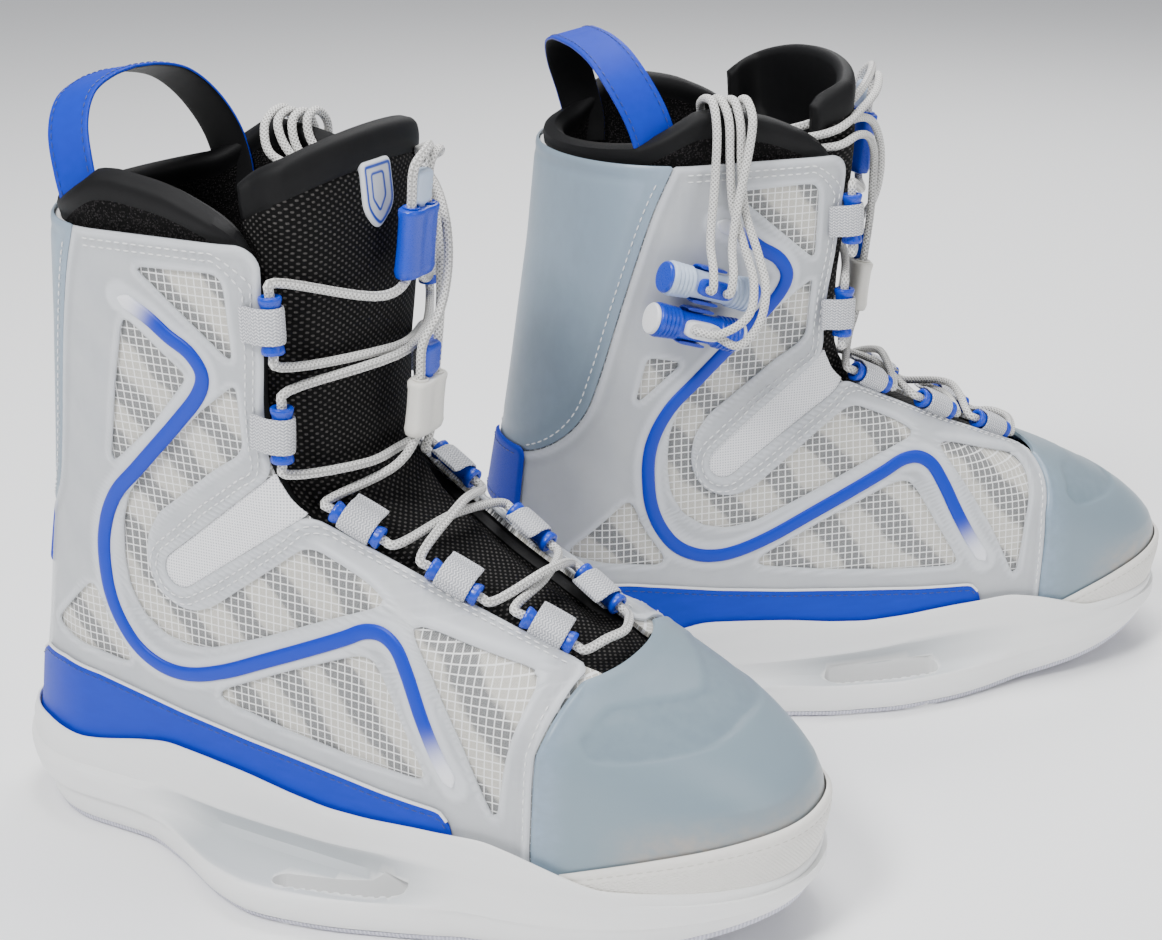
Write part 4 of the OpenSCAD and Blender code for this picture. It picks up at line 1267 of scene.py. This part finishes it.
def carve(boot, objects):
    """Cut the two mounting slots through the sole pieces."""
    for k, (side, centre, degrees) in enumerate(SLOTS):
        a = math.radians(degrees)
        turn = np.array([[math.cos(a), math.sin(a)], [-math.sin(a), math.cos(a)]])
        flat = slot_outline(side) @ turn + centre
        rings = [np.c_[flat, np.full(len(flat), z)] for z in (-3.0, 20.0)]
        verts, faces = loft(rings)
        mesh = bpy.data.meshes.new("cutter")
        mesh.from_pydata(boot.world(verts).tolist(), [], faces)
        bm = bmesh.new()
        bm.from_mesh(mesh)
        bmesh.ops.recalc_face_normals(bm, faces=bm.faces)
        bm.to_mesh(mesh)
        bm.free()
        cutter = bpy.data.objects.new("cutter", mesh)
        bpy.context.scene.collection.objects.link(cutter)
        for obj in objects:
            mod = obj.modifiers.new("slot", "BOOLEAN")
            mod.operation = "DIFFERENCE"
            mod.solver = "EXACT"
            mod.object = cutter
            bpy.context.view_layer.update()
            done = bpy.data.meshes.new_from_object(
                obj.evaluated_get(bpy.context.evaluated_depsgraph_get()))
            obj.modifiers.remove(mod)
            obj.data = done
        bpy.data.objects.remove(cutter)


def build_footbed(boot):
    t = sole_angles()[::2]
    rings = []
    for z, inset in ((27.2, 12), (27.2, 11), (28.6, 10.6), (29.5, 11), (29.8, 12), (29.6, 22)):
        p = under(t, 36.0, np.full(len(t), float(inset)))
        p[:, 2] = z
        rings.append(p)
    verts, faces = loft(rings)
    boot.piece("footbed", verts, faces, LOOKS["knit"], place=verts[:, :2], sharp=40)


# ---------------------------------------------------------------- liner and tongue
LINER_TOP = [[38, 251], [62, 254], [74, 261], [83, 266], [92, 266.5], [108, 264], [116, 262],
             [128, 257], [140, 250.5], [147, 240], [152, 222]]
LINER_LAP = 1.2


def eased(n, pack=0.3):
    """0 to 1 in n steps, closer together near both ends."""
    s = np.linspace(0, 1, n + 1)
    return mix(s, s * s * (3 - 2 * s), 1 - pack)


def build_liner(boot):
    n, m = 170, 90
    s, v = np.meshgrid(eased(n, 0.6) * 2 - 1, eased(m, 0.75))
    s, v = s.ravel(), v.ravel()
    x_top = skin(s * (gap_angle(250) + 1), 255)[:, 0]
    top = soft(x_top, LINER_TOP, 3)
    z = mix(BASE_Z + 0.2, top, v)
    t = s * np.minimum(178, gap_angle(z) + LINER_LAP)
    p = skin(t, z)
    per_degree = np.linalg.norm(skin(t + 0.5, z) - skin(t - 0.5, z), axis=1)
    edge = (1 - np.abs(s)) * np.minimum(178, gap_angle(z) + LINER_LAP) * per_degree
    d = np.minimum(top - z, edge)
    d = np.minimum(d, 10 - np.hypot(np.maximum(10 - (top - z), 0), np.maximum(10 - edge, 0)))
    d = np.maximum(d, 0)
    roll = np.sqrt(np.clip(1 - (1 - np.clip(d / 3.6, 0, 1)) ** 2, 0.0, 1))
    above = ramp(238, 256, z)
    # the collar swells outward above the cuff, and its bound edge is a soft roll
    puff = above * (1.4 + 0.8 * np.sin(np.clip((z - 238) / 26, 0, 1) * np.pi))
    bound = hill(d, 4.5, 3.6) * 0.8 * above
    groove = hill(d, 9.4, 0.8) * 0.7 * above
    outer = 6.2 - roll * (3.0 + puff + bound) + groove
    inner = 6.2 + roll * (3.0 + 0.6 * above + bound) - groove
    verts, faces = sheet_solid(under(t, z, outer), under(t, z, inner),
                               grid_faces(n, m).tolist())
    place = arc_place(t, z)
    obj = boot.piece("liner", verts, faces, LOOKS["knit"], place=np.vstack([place, place]))
    obj.data.materials.append(LOOKS["neoprene"])
    d2 = np.r_[d, d]
    for polygon in obj.data.polygons:
        if d2[list(polygon.vertices)].mean() < 9.2:
            polygon.material_index = 1
    rows = []
    for side in (-1, 1):
        line = np.stack([side * np.interp(np.linspace(0, 1, 60), [0, 1], [70, 112]),
                         np.zeros(60)], 1)
        x = skin(np.abs(line[:, 0]), 255)[:, 0]
        line[:, 1] = soft(x, LINER_TOP, 4) - 9.6
        rows.append(line[(line[:, 1] > 244)])


def build_tongue(boot):
    n, m = 90, 190
    s, v = np.meshgrid(eased(n, 0.7), eased(m, 0.85))
    s, v = s.ravel(), v.ravel()
    z_top = 280 - 16 * np.abs(2 * s - 1) ** 1.8
    z = mix(96.5, z_top, v)
    tuck = ramp(238, 252, z)
    e = gap_angle(np.minimum(z, 250)) - mix(2.0, 1.0, v) - 9 * tuck
    full = mix(e, 360 - e, s)
    t = around(full)
    per_degree = np.linalg.norm(skin(t + 0.5, z) - skin(t - 0.5, z), axis=1)
    side = np.minimum(s, 1 - s) * (360 - 2 * e) * np.clip(per_degree, 0.3, 3)
    d = np.maximum(np.minimum(z_top - z, np.minimum(side, (z - 96.5) * 1.3)), 0)
    roll = np.sqrt(np.clip(1 - (1 - np.clip(d / 3.4, 0, 1)) ** 2, 0, 1))
    deep = mix(4.0, 6.0, tuck) * ramp(24, 7, side) * ramp(98, 112, z)
    swell = 0.9 * hill(z_top - z, 6, 5) + 0.7 * ramp(4, 14, side) * ramp(100, 112, z)
    groove = 0.7 * hill(z_top - z, 13.5, 0.9)
    middle_d = 6.0 + deep
    outer = middle_d - roll * (3.0 + swell) + groove
    inner = middle_d + roll * 3.0
    verts, faces = sheet_solid(under(t, z, outer), under(t, z, inner),
                               grid_faces(n, m).tolist())
    across = (s - 0.5) * (360 - 2 * e) * np.clip(per_degree, 0.3, 3)
    steep = np.linalg.norm(skin(t, z + 0.5) - skin(t, z - 0.5), axis=1)
    levels = np.interp(z, *ridge_length())
    place = np.stack([across, levels], 1)
    obj = boot.piece("tongue", verts, faces, LOOKS["tongue"], place=np.vstack([place, place]))
    obj.data.materials.append(LOOKS["neoprene"])
    smooth = np.r_[np.minimum(z_top - z, 99), np.full(len(z), 0.0)]
    for polygon in obj.data.polygons:
        if smooth[list(polygon.vertices)].mean() < 13.5:
            polygon.material_index = 1


def ridge_length():
    """Heights and the length up the front of the boot to each."""
    z = np.linspace(90, 282, 97)
    p = skin(np.full(97, 178.0), z)
    return z, np.r_[0, np.cumsum(np.linalg.norm(np.diff(p, axis=0), axis=1))]


def build_badge(boot):
    centre, per_degree = -177.0, 1.6
    shape = fillet([[-8.5, 268], [8.5, 268], [8.6, 252], [4.5, 246.5], [0, 243.6],
                    [-4.5, 246.5], [-8.6, 252]], 3.0)
    inner_shape = fillet([[-3.4, 263.5], [3.4, 263.5], [3.6, 255], [0, 250.2], [-3.6, 255]], 1.2)

    def flat(t, z):
        return np.stack([(t - centre) * per_degree, z], -1)

    def place(u, v):
        return mix(centre - 6, centre + 6, u), mix(242.5, 268.8, v)
    tz, faces = cut_grid(70, 76, place, lambda t, z: -signed(flat(t, z), shape))
    t, z = tz.T
    d = np.maximum(-signed(flat(t, z), shape), 0)
    mark = signed(flat(t, z), inner_shape)
    band = np.maximum(ramp(0.5, 0.0, np.abs(d - 1.9) - 0.35), ramp(0.3, -0.1, np.abs(mark) - 0.4))
    rise = 1.1 * np.sqrt(np.clip(d / 0.9, 0.06, 1)) + 0.2 * band
    verts, faces = sheet_solid(under(t, z, 2.0 - rise), under(t, z, 2.8), faces)
    boot.piece("badge", verts, faces, LOOKS["badge"], {"mark": np.r_[band, band]})


STRAP_PATH = [[72, 44.5, 238], [72, 45, 247], [68, 44, 262], [62, 38, 276], [58, 28, 285],
              [56, 14, 289], [55, 0, 290]]


def build_strap(boot):
    half_path = smooth_path(STRAP_PATH, 8)
    path = even(np.vstack([half_path, half_path[-2::-1] * [1, -1, 1]]), 1.5)
    tangent = unit(np.gradient(path, axis=0))
    lean = np.array([0.94, 0, 0.2])
    across = unit(lean - (tangent @ lean)[:, None] * tangent)
    out = np.cross(tangent, across)
    ring = oval(8.9, 0.85, 44, 5.0)
    rings = [c + ring[:, :1] * a + ring[:, 1:] * o for c, a, o in zip(path, across, out)]
    verts, faces = loft(rings)
    run = np.arange(len(path)) * 1.5
    place = np.stack([np.tile(ring[:, 0], len(path)), np.repeat(run, 44)], 1)
    obj = boot.piece("pull_strap", verts, faces, LOOKS["leather"], place=place)
    obj.data.materials.append(LOOKS["neoprene"])
    middle_at = verts.mean(0)
    face_side = np.tile(ring[:, 1], len(path))
    inner_sign = np.sign(np.dot(out[len(path) // 2], np.array([-0.2, 0, 1.0])))
    for polygon in obj.data.polygons:
        if face_side[list(polygon.vertices)].mean() * inner_sign < -0.4:
            polygon.material_index = 1
    parts = []
    for w in (-6.9, 6.9):
        line = path + w * across + inner_sign * 0.9 * out
        parts.append(thread_row(line[8:-8]))
    verts, faces, _ = merge(parts)
    boot.piece("strap_stitches", verts, faces, LOOKS["thread_navy"], node=[], slot="pull_strap")


def thread_row(line, length=2.4, gap=1.1, radius=0.3):
    line = even(line, 0.4)
    run = np.arange(len(line)) * 0.4
    parts, s = [], 0.0
    while s + length < run[-1]:
        k = np.linspace(s, s + length, 5)
        p = np.stack([np.interp(k, run, line[:, i]) for i in range(3)], 1)
        parts.append(tube(p, radius * np.array([0.45, 0.9, 1.0, 0.9, 0.45]), 6))
        s += length + gap
    return merge(parts)


# ---------------------------------------------------------------- lacing
GUIDES = [[[153, -52, 219], [-0.03, 0.02, 1], [0.45, -0.89, 0]],
          [[152.5, -48.5, 179], [0.03, 0.03, 1], [0.5, -0.87, 0]],
          [[173, -35, 144.5], [0.87, 0.17, -0.46], [0.3, -0.62, 0.72]],
          [[208, -29, 127], [0.87, 0.18, -0.46], [0.32, -0.55, 0.77]],
          [[240.5, -20.5, 111.5], [0.87, 0.2, -0.45], [0.35, -0.45, 0.82]]]
LACE_R = 1.7


def guide_frames():
    for side in (0, 1):
        for at, axis, out in GUIDES:
            m = np.array([1, -1 if side else 1, 1])
            yield axes_at(np.array(at) * m, np.array(axis) * m, np.array(out) * m), side


def build_guides(boot):
    profile = [(2.35, -9.7), (2.7, -10), (3.7, -10), (4.1, -9.6), (4.1, -8.6), (3.75, -7.4),
               (3.45, -6.6), (3.45, 6.6), (3.75, 7.4), (4.1, 8.6), (4.1, 9.6), (3.7, 10),
               (2.7, 10), (2.35, 9.7), (2.3, 0), (2.35, -9.7)]
    tubes, loops = [], []
    for where, side in guide_frames():
        rings = lathe(profile, 32)
        faces = grid_faces(32, len(rings) - 1, wrap=True).tolist()
        verts = put(where, np.concatenate(rings))
        tubes.append((verts, faces))
        loops.append(webbing_loop(where, 1 if side else -1))
    verts, faces, _ = merge(tubes)
    obj = boot.piece("lace_guides", verts, faces, LOOKS["plastic_blue"], closed=True)
    weld(obj)
    verts, faces, place = merge(loops)
    boot.piece("lace_loops", verts, faces, LOOKS["webbing"], place=place)


def weld(obj):
    bm = bmesh.new()
    bm.from_mesh(obj.data)
    bmesh.ops.remove_doubles(bm, verts=bm.verts, dist=1e-7)
    bmesh.ops.recalc_face_normals(bm, faces=bm.faces)
    bm.to_mesh(obj.data)
    bm.free()


def webbing_loop(where, hand):
    """Webbing round a guide tube, its end running down under the tongue's edge."""
    arc = [(4.25 * math.cos(a), 4.25 * math.sin(a)) for a in np.radians(np.linspace(-190, 42, 30))]
    foot = [(2.0, 5.6), (-0.2, 7.4), (-2.0, 9.2), (-2.9, 11.0)]
    line = even(smooth_path(np.array(arc[::3] + foot), 5), 0.7)
    tangent = unit(np.gradient(line, axis=0))
    normal = np.stack([tangent[:, 1], -tangent[:, 0]], 1)
    ring = oval(0.55, 6.4, 28, 4.0)
    rings = []
    for c, n in zip(line, normal):
        flat = c + ring[:, :1] * n
        rings.append(np.c_[flat[:, 0], hand * flat[:, 1], ring[:, 1]])
    verts, faces = loft(rings)
    place = np.stack([np.tile(ring[:, 1], len(line)), np.repeat(np.arange(len(line)) * 0.7, 28)], 1)
    return put(where, verts), faces, place


LOWER_AT, UPPER_AT = np.array([177, 5, 168.0]), np.array([177.5, 1, 227.0])
LEAN = unit([0.12, 0, 1])


def lock_ring(a, b, waist, n=64):
    p = oval(a, b, n, 3.0)
    p[:, 0] *= 1 - waist * np.exp(-(p[:, 1] / 1.7) ** 2)
    return p


def lock_housing(height, flare):
    """Two lace channels side by side with a slot between them, wider at the foot."""
    rings = []
    for z, grow, waist in ((0, -0.5, 0.10), (0.5, 0.0, 0.14), (2.5, flare, 0.18),
                           (4.0, flare * 0.6, 0.22), (height * 0.5, 0.1, 0.26),
                           (height - 3.5, flare * 0.4, 0.26), (height - 2, flare, 0.2),
                           (height - 0.6, flare, 0.16), (height, flare - 0.6, 0.1)):
        p = lock_ring(4.0 + grow, 9.7 + grow, waist)
        rings.append(np.c_[p, np.full(len(p), float(z))])
    return rings


def lock_wedge(height):
    """The cam paddle that stands out of the housing."""
    rings = []
    for z, a, b in ((-12, 1.2, 1.8), (0.5, 1.7, 1.9), (2.0, 2.6, 4.6), (3.2, 2.9, 5.2),
                    (5.0, 2.5, 5.3), (5.9, 2.9, 5.4), (7.0, 2.5, 5.4), (7.9, 2.9, 5.4),
                    (9.0, 2.5, 5.4), (10.4, 2.9, 5.3), (11.8, 2.7, 5.0), (12.7, 2.0, 4.2),
                    (13.0, 1.2, 3.2)):
        p = oval(a, b, 48, 3.2)
        rings.append(np.c_[p, np.full(len(p), height + z)])
    return rings


def build_locks(boot):
    for level, at, height, shell, wedge in (
            ("lower", LOWER_AT, 21, "plastic_cream", "plastic_blue"),
            ("upper", UPPER_AT, 25, "plastic_blue", "plastic_ice")):
        where = axes_at(at, LEAN, [1, 0, 0])
        verts, faces = loft(lock_housing(height, 0.5))
        obj = boot.piece(f"{level}_lock", put(where, verts), faces, LOOKS[shell], sharp=60)
        # dark mouths where the laces and the wedge go in
        parts = []
        for y in (-5.4, 5.4):
            rings = lathe([(2.2, height - 0.6), (2.9, height - 0.2), (3.15, height + 0.5),
                           (2.7, height + 0.75), (2.2, height + 0.4)], 28)
            shifted = [r + [0, y, 0] for r in rings]
            parts.append((put(where, np.concatenate(shifted)),
                          grid_faces(28, 4, wrap=True).tolist()
                          + [list(range(28)), [4 * 28 + i for i in range(27, -1, -1)]]))
        verts, faces, _ = merge(parts)
        boot.piece(f"{level}_lock_mouths", verts, faces, LOOKS[shell], node=[],
                   slot=f"{level}_lock", sharp=60)
        verts, faces = loft(lock_wedge(height))
        boot.piece(f"{level}_wedge", put(where, verts), faces, LOOKS[wedge], sharp=60,
                   body=f"{level}_wedge_body")


GRIPS = {"lower": np.array([81.5, 62.5, 183.0]), "upper": np.array([86.5, 63.5, 199.5])}
GRIP_DIR = [0.95, -0.1, -0.3]
OUT_DIR = [0.1, 0.995, 0]


def build_handles(boot):
    for level, shell, ends, core in (
            ("lower", "plastic_blue", "plastic_white", "plastic_white"),
            ("upper", "plastic_ice", "plastic_blue", "plastic_blue")):
        where = axes_at(GRIPS[level], GRIP_DIR, OUT_DIR)
        body = f"{level}_handle_body"
        profile = [(0.01, -19.2), (6.0, -19.2), (6.7, -18.6)]
        for k in range(5):
            z = -18 + 1.9 * k
            profile += [(6.9 - 0.12 * k, z), (6.95 - 0.12 * k, z + 0.9), (6.4 - 0.12 * k, z + 1.3)]
        profile += [(5.7, -7.6), (5.5, -5), (5.5, 0)]
        profile += [(r, -z) for r, z in profile[-2::-1]]
        verts, faces = loft(lathe(profile, 48))
        grip = boot.piece(f"{level}_handle", put(where, verts), faces, LOOKS[shell], body=body)
        parts = []
        for s in (-1, 1):
            rings = lathe([(0.01, s * 18.6), (5.4, s * 18.7), (6.2, s * 19.4), (6.3, s * 20.2),
                           (5.8, s * 20.9), (4.0, s * 21.0), (0.01, s * 21.0)], 40)
            parts.append((put(where, np.concatenate(rings)), loft(rings)[1]))
        verts, faces, _ = merge(parts)
        boot.piece(f"{level}_handle_caps", verts, faces, LOOKS[ends], node=[],
                   slot=f"{level}_handle", body=body)
        parts = []
        for x, a, b in ((3.4, 7.4, 3.1),):
            rings = []
            for depth, grow in ((3.3, 0.0), (6.6, 0.1), (7.4, 0.0), (7.8, -0.5), (7.9, -1.2)):
                p = oval(7.8 + grow, 3.45 + grow, 48, 3.6)
                rings.append(np.c_[np.full(48, depth), p[:, 1], p[:, 0]])
            verts, faces = loft(rings)
            parts.append((put(where, verts), faces))
        for s in (-1, 1):
            rings = lathe([(2.15, 7.3), (2.6, 8.1), (3.0, 8.0), (3.2, 7.4)], 28)
            rings = [np.c_[r[:, 2], r[:, 1], r[:, 0] + 4 * s] for r in rings]
            verts, faces = loft(rings)
            parts.append((put(where, verts), faces))
        verts, faces, _ = merge(parts)
        boot.piece(f"{level}_core", verts, faces, LOOKS[core], sharp=45, body=body)


def build_dock(boot):
    clips = []
    for g in GRIPS.values():
        where = axes_at(g, GRIP_DIR, OUT_DIR)
        line = [(1.2, -6.9), (-2.0, -7.0), (-5.2, -6.5), (-6.8, -4.6), (-6.9, 0), (-6.8, 4.6),
                (-5.2, 6.5), (-2.0, 7.0), (1.2, 6.9)]
        line = even(smooth_path(np.array(line), 6), 0.8)
        tangent = unit(np.gradient(line, axis=0))
        normal = np.stack([tangent[:, 1], -tangent[:, 0]], 1)
        ring = oval(0.65, 5.9, 28, 4.0)
        rings = []
        for c, n in zip(line, normal):
            flat = c + ring[:, :1] * n
            rings.append(np.c_[flat, ring[:, 1]])
        verts, faces = loft(rings)
        clips.append((put(where, verts), faces))
    verts, faces, _ = merge(clips)
    boot.piece("handle_dock", verts, faces, LOOKS["plastic_blue"], sharp=45)


def on_guide(i, side, d):
    at, axis, _ = GUIDES[i]
    p = np.array(at) + d * unit(axis)
    return [p[0], -side * p[1], p[2]]


def through_guide(i, side, end):
    """In at one end of guide i and out at the other; end is 1 from its upper end down."""
    return [on_guide(i, side, end * d) for d in (14, 11, -11, -14)]


def on_lock(at, y, h):
    return (at + [0, y, 0] + h * LEAN).tolist()


def grip_hole(level, side, d):
    z = unit(GRIP_DIR)
    x = unit(np.array(OUT_DIR) - np.dot(OUT_DIR, z) * z)
    return (GRIPS[level] + d * x + side * 4 * z).tolist()


def crossing(x, z, h):
    return [x + 0.5 * h, 0, z + 0.87 * h]


UP_INNER = [
    [183, 3, 271.5], [173, 20, 268.5], [160, 33, 263], [146.5, 40, 258.5], [131, 37.5, 254],
    [114, 31.5, 253], [98, 32, 257], [92, 38, 266], [91, 46, 270],
    [90.5, 55, 269.5], [90, 60.5, 261], [89, 62, 240], [86, 66, 217], [84.8, 72.5, 208]]
UP_OUTER = [
    [181, 14, 269], [173.5, 27.5, 265], [161.5, 38.5, 260], [148, 46.5, 254.5], [134, 46.5, 252],
    [118, 45.5, 253], [108.5, 44.5, 260], [105, 47.5, 268], [104.5, 55, 270], [104, 62.5, 264],
    [101.5, 64.6, 250], [97.5, 65.5, 232], [94.5, 67.5, 215], [93, 73, 206]]
LOW_INNER = [
    [184.5, 6, 213], [184, 13.5, 227], [181, 18.5, 241], [173.5, 25.5, 252], [162, 35, 256],
    [147, 41.5, 252.5], [131, 36.5, 248.5], [114, 36, 250], [102, 36.5, 259], [96, 41, 267.5],
    [95.6, 50, 270], [95.6, 58.6, 264], [95.8, 60.4, 248], [97, 61.6, 230], [100, 67.5, 214],
    [101.5, 73.5, 201.5], [98, 77, 190], [86, 76.5, 183.5]]
LOW_OUTER = [
    [180.5, 13.5, 213], [178.5, 18, 226], [175.5, 24, 239], [168.5, 33, 247.5], [159, 42, 250.5],
    [148, 47.5, 248], [134, 43, 247], [116, 40.5, 249], [105, 40, 258], [100.5, 44, 267.5],
    [100.2, 53, 269.5], [100.2, 59.5, 262], [100.5, 60.6, 246], [102, 62, 228], [105, 69, 212],
    [106, 75, 199], [102, 77.5, 186], [94, 76.5, 178]]


def lower_front():
    return ([on_lock(LOWER_AT, -5.4, h) for h in (35, 22, -1)] + [[173.5, -8, 158.5]]
            + through_guide(2, -1, -1) + [crossing(190, 136, 4.5)] + through_guide(3, 1, -1)
            + [crossing(226, 117, 4.5)] + through_guide(4, -1, -1)
            + [[257.5, -9, 107], [260, 0, 107], [257.5, 9, 107]]
            + through_guide(4, 1, 1) + [crossing(226, 117, 9.6)] + through_guide(3, -1, 1)
            + [crossing(190, 136, 9.6)] + through_guide(2, 1, 1) + [[173.5, 12, 158.5]]
            + [on_lock(LOWER_AT, 5.4, h) for h in (-1, 22, 35)])


def upper_front():
    return ([on_lock(UPPER_AT, -5.4, h) for h in (39.5, 26, -1)] + [[174.5, -14, 222.5]]
            + through_guide(0, -1, 1) + [[170, -1, 200]] + through_guide(1, 1, 1)
            + [[168, 20, 162], [168.8, 0, 161.5], [168, -20, 162]]
            + through_guide(1, -1, -1) + [[174.6, 0, 199.5]] + through_guide(0, 1, -1)
            + [[174.5, 16, 222.5]] + [on_lock(UPPER_AT, 5.4, h) for h in (-1, 26, 39.5)])


def build_laces(boot):
    """Each lace is one loop: the part in the guides and over the collar rides on the boot, and its two tails
    run between the boot and the handle that they end in and ride on neither."""
    for level, front_part, inner, outer in (
            ("lower", lower_front(), LOW_INNER, LOW_OUTER),
            ("upper", upper_front(), UP_INNER, UP_OUTER)):
        def hole(side, level=level):
            return [grip_hole(level, side, 10.5), grip_hole(level, side, 4.2)]
        whole = hole(-1)[::-1] + inner[::-1] + front_part + outer + hole(1)
        path = even(smooth_path(whole, 8), 1.1)
        # split where the strands come down over the collar's rim
        rim = [i for i in range(1, len(path)) if (path[i - 1, 2] - 262) * (path[i, 2] - 262) < 0
               and path[i, 1] > 54]
        cuts = [rim[0], rim[-1]]
        pieces = [("inner_tail", path[:cuts[0] + 1][::-1]), ("", path[cuts[0]:cuts[1] + 1]),
                  ("outer_tail", path[cuts[1]:])]
        for name, line in pieces:
            verts, faces, place = tube(line, LACE_R, 14)
            full = f"{level}_lace" + (f"_{name}" if name else "")
            if name:
                obj = boot.piece(full, verts, faces, LOOKS["lace"], place=place, node=[],
                                 slot=f"{level}_lace", ride=False)
                boot.body()
                boot.body(f"{level}_handle_body")
                boot.world(line[0]).tolist()
                boot.world(mix(line[0], line[-1], 0.85)).tolist()
                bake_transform(obj)
            else:
                obj = boot.piece(full, verts, faces, LOOKS["lace"], place=place)
            declare_lace(boot, line)


def declare_lace(boot, line):
    points = boot.world(line)


# ---------------------------------------------------------------- everything together
def badge_material():
    s = Shade("badge", rough=0.35, Specular_IOR_Level=0.6)
    s.color(s.mix(s.value("mark"), (0.72, 0.74, 0.78), (0.01, 0.06, 0.45)))
    s.bump(s.noise(900, 2), 0.08)
    return s.mat


add_camera()
add_studio()
LOOKS = {
    "overlay": frosted("frosted_skin", (0.74, 0.765, 0.80), 0.36, 0.80),
    "line": line_material(),
    "ripstop": ripstop_material(),
    "mesh": mesh_material(),
    "counter": counter_material(),
    "leather": leather_material("blue_leatherette", BLUE),
    "toe": toe_material(),
    "bumper": bumper_material(),
    "eva": sole_material(),
    "tread": outsole_material(),
    "knit": knit_material(),
    "neoprene": neoprene_material(),
    "tongue": tongue_material(),
    "badge": badge_material(),
    "webbing": webbing_material(),
    "lace": lace_material(),
    "plastic_blue": moulded("plastic_blue", (0.0, 0.04, 0.52), 0.30, Coat_Weight=0.1),
    "plastic_white": moulded("plastic_white", (0.86, 0.86, 0.87), 0.33),
    "plastic_cream": moulded("plastic_cream", (0.80, 0.78, 0.72), 0.38),
    "plastic_ice": moulded("plastic_ice", (0.50, 0.60, 0.76), 0.33),
    "thread_white": thread_material("thread_white", (0.88, 0.88, 0.88)),
    "thread_navy": thread_material("thread_navy", (0.01, 0.03, 0.20)),
    "thread_cream": thread_material("thread_cream", (0.62, 0.60, 0.55)),
}
for boot in (Boot("right"), Boot("left")):
    for build in (build_laces, build_quarter, build_overlay, build_line, build_ankle_mesh,
                  build_counter, build_heel_tab, build_toe_cap, build_bumper, build_foxing,
                  build_sole, build_footbed, build_liner, build_tongue, build_badge,
                  build_strap, build_guides, build_locks, build_handles, build_dock):
        build(boot)
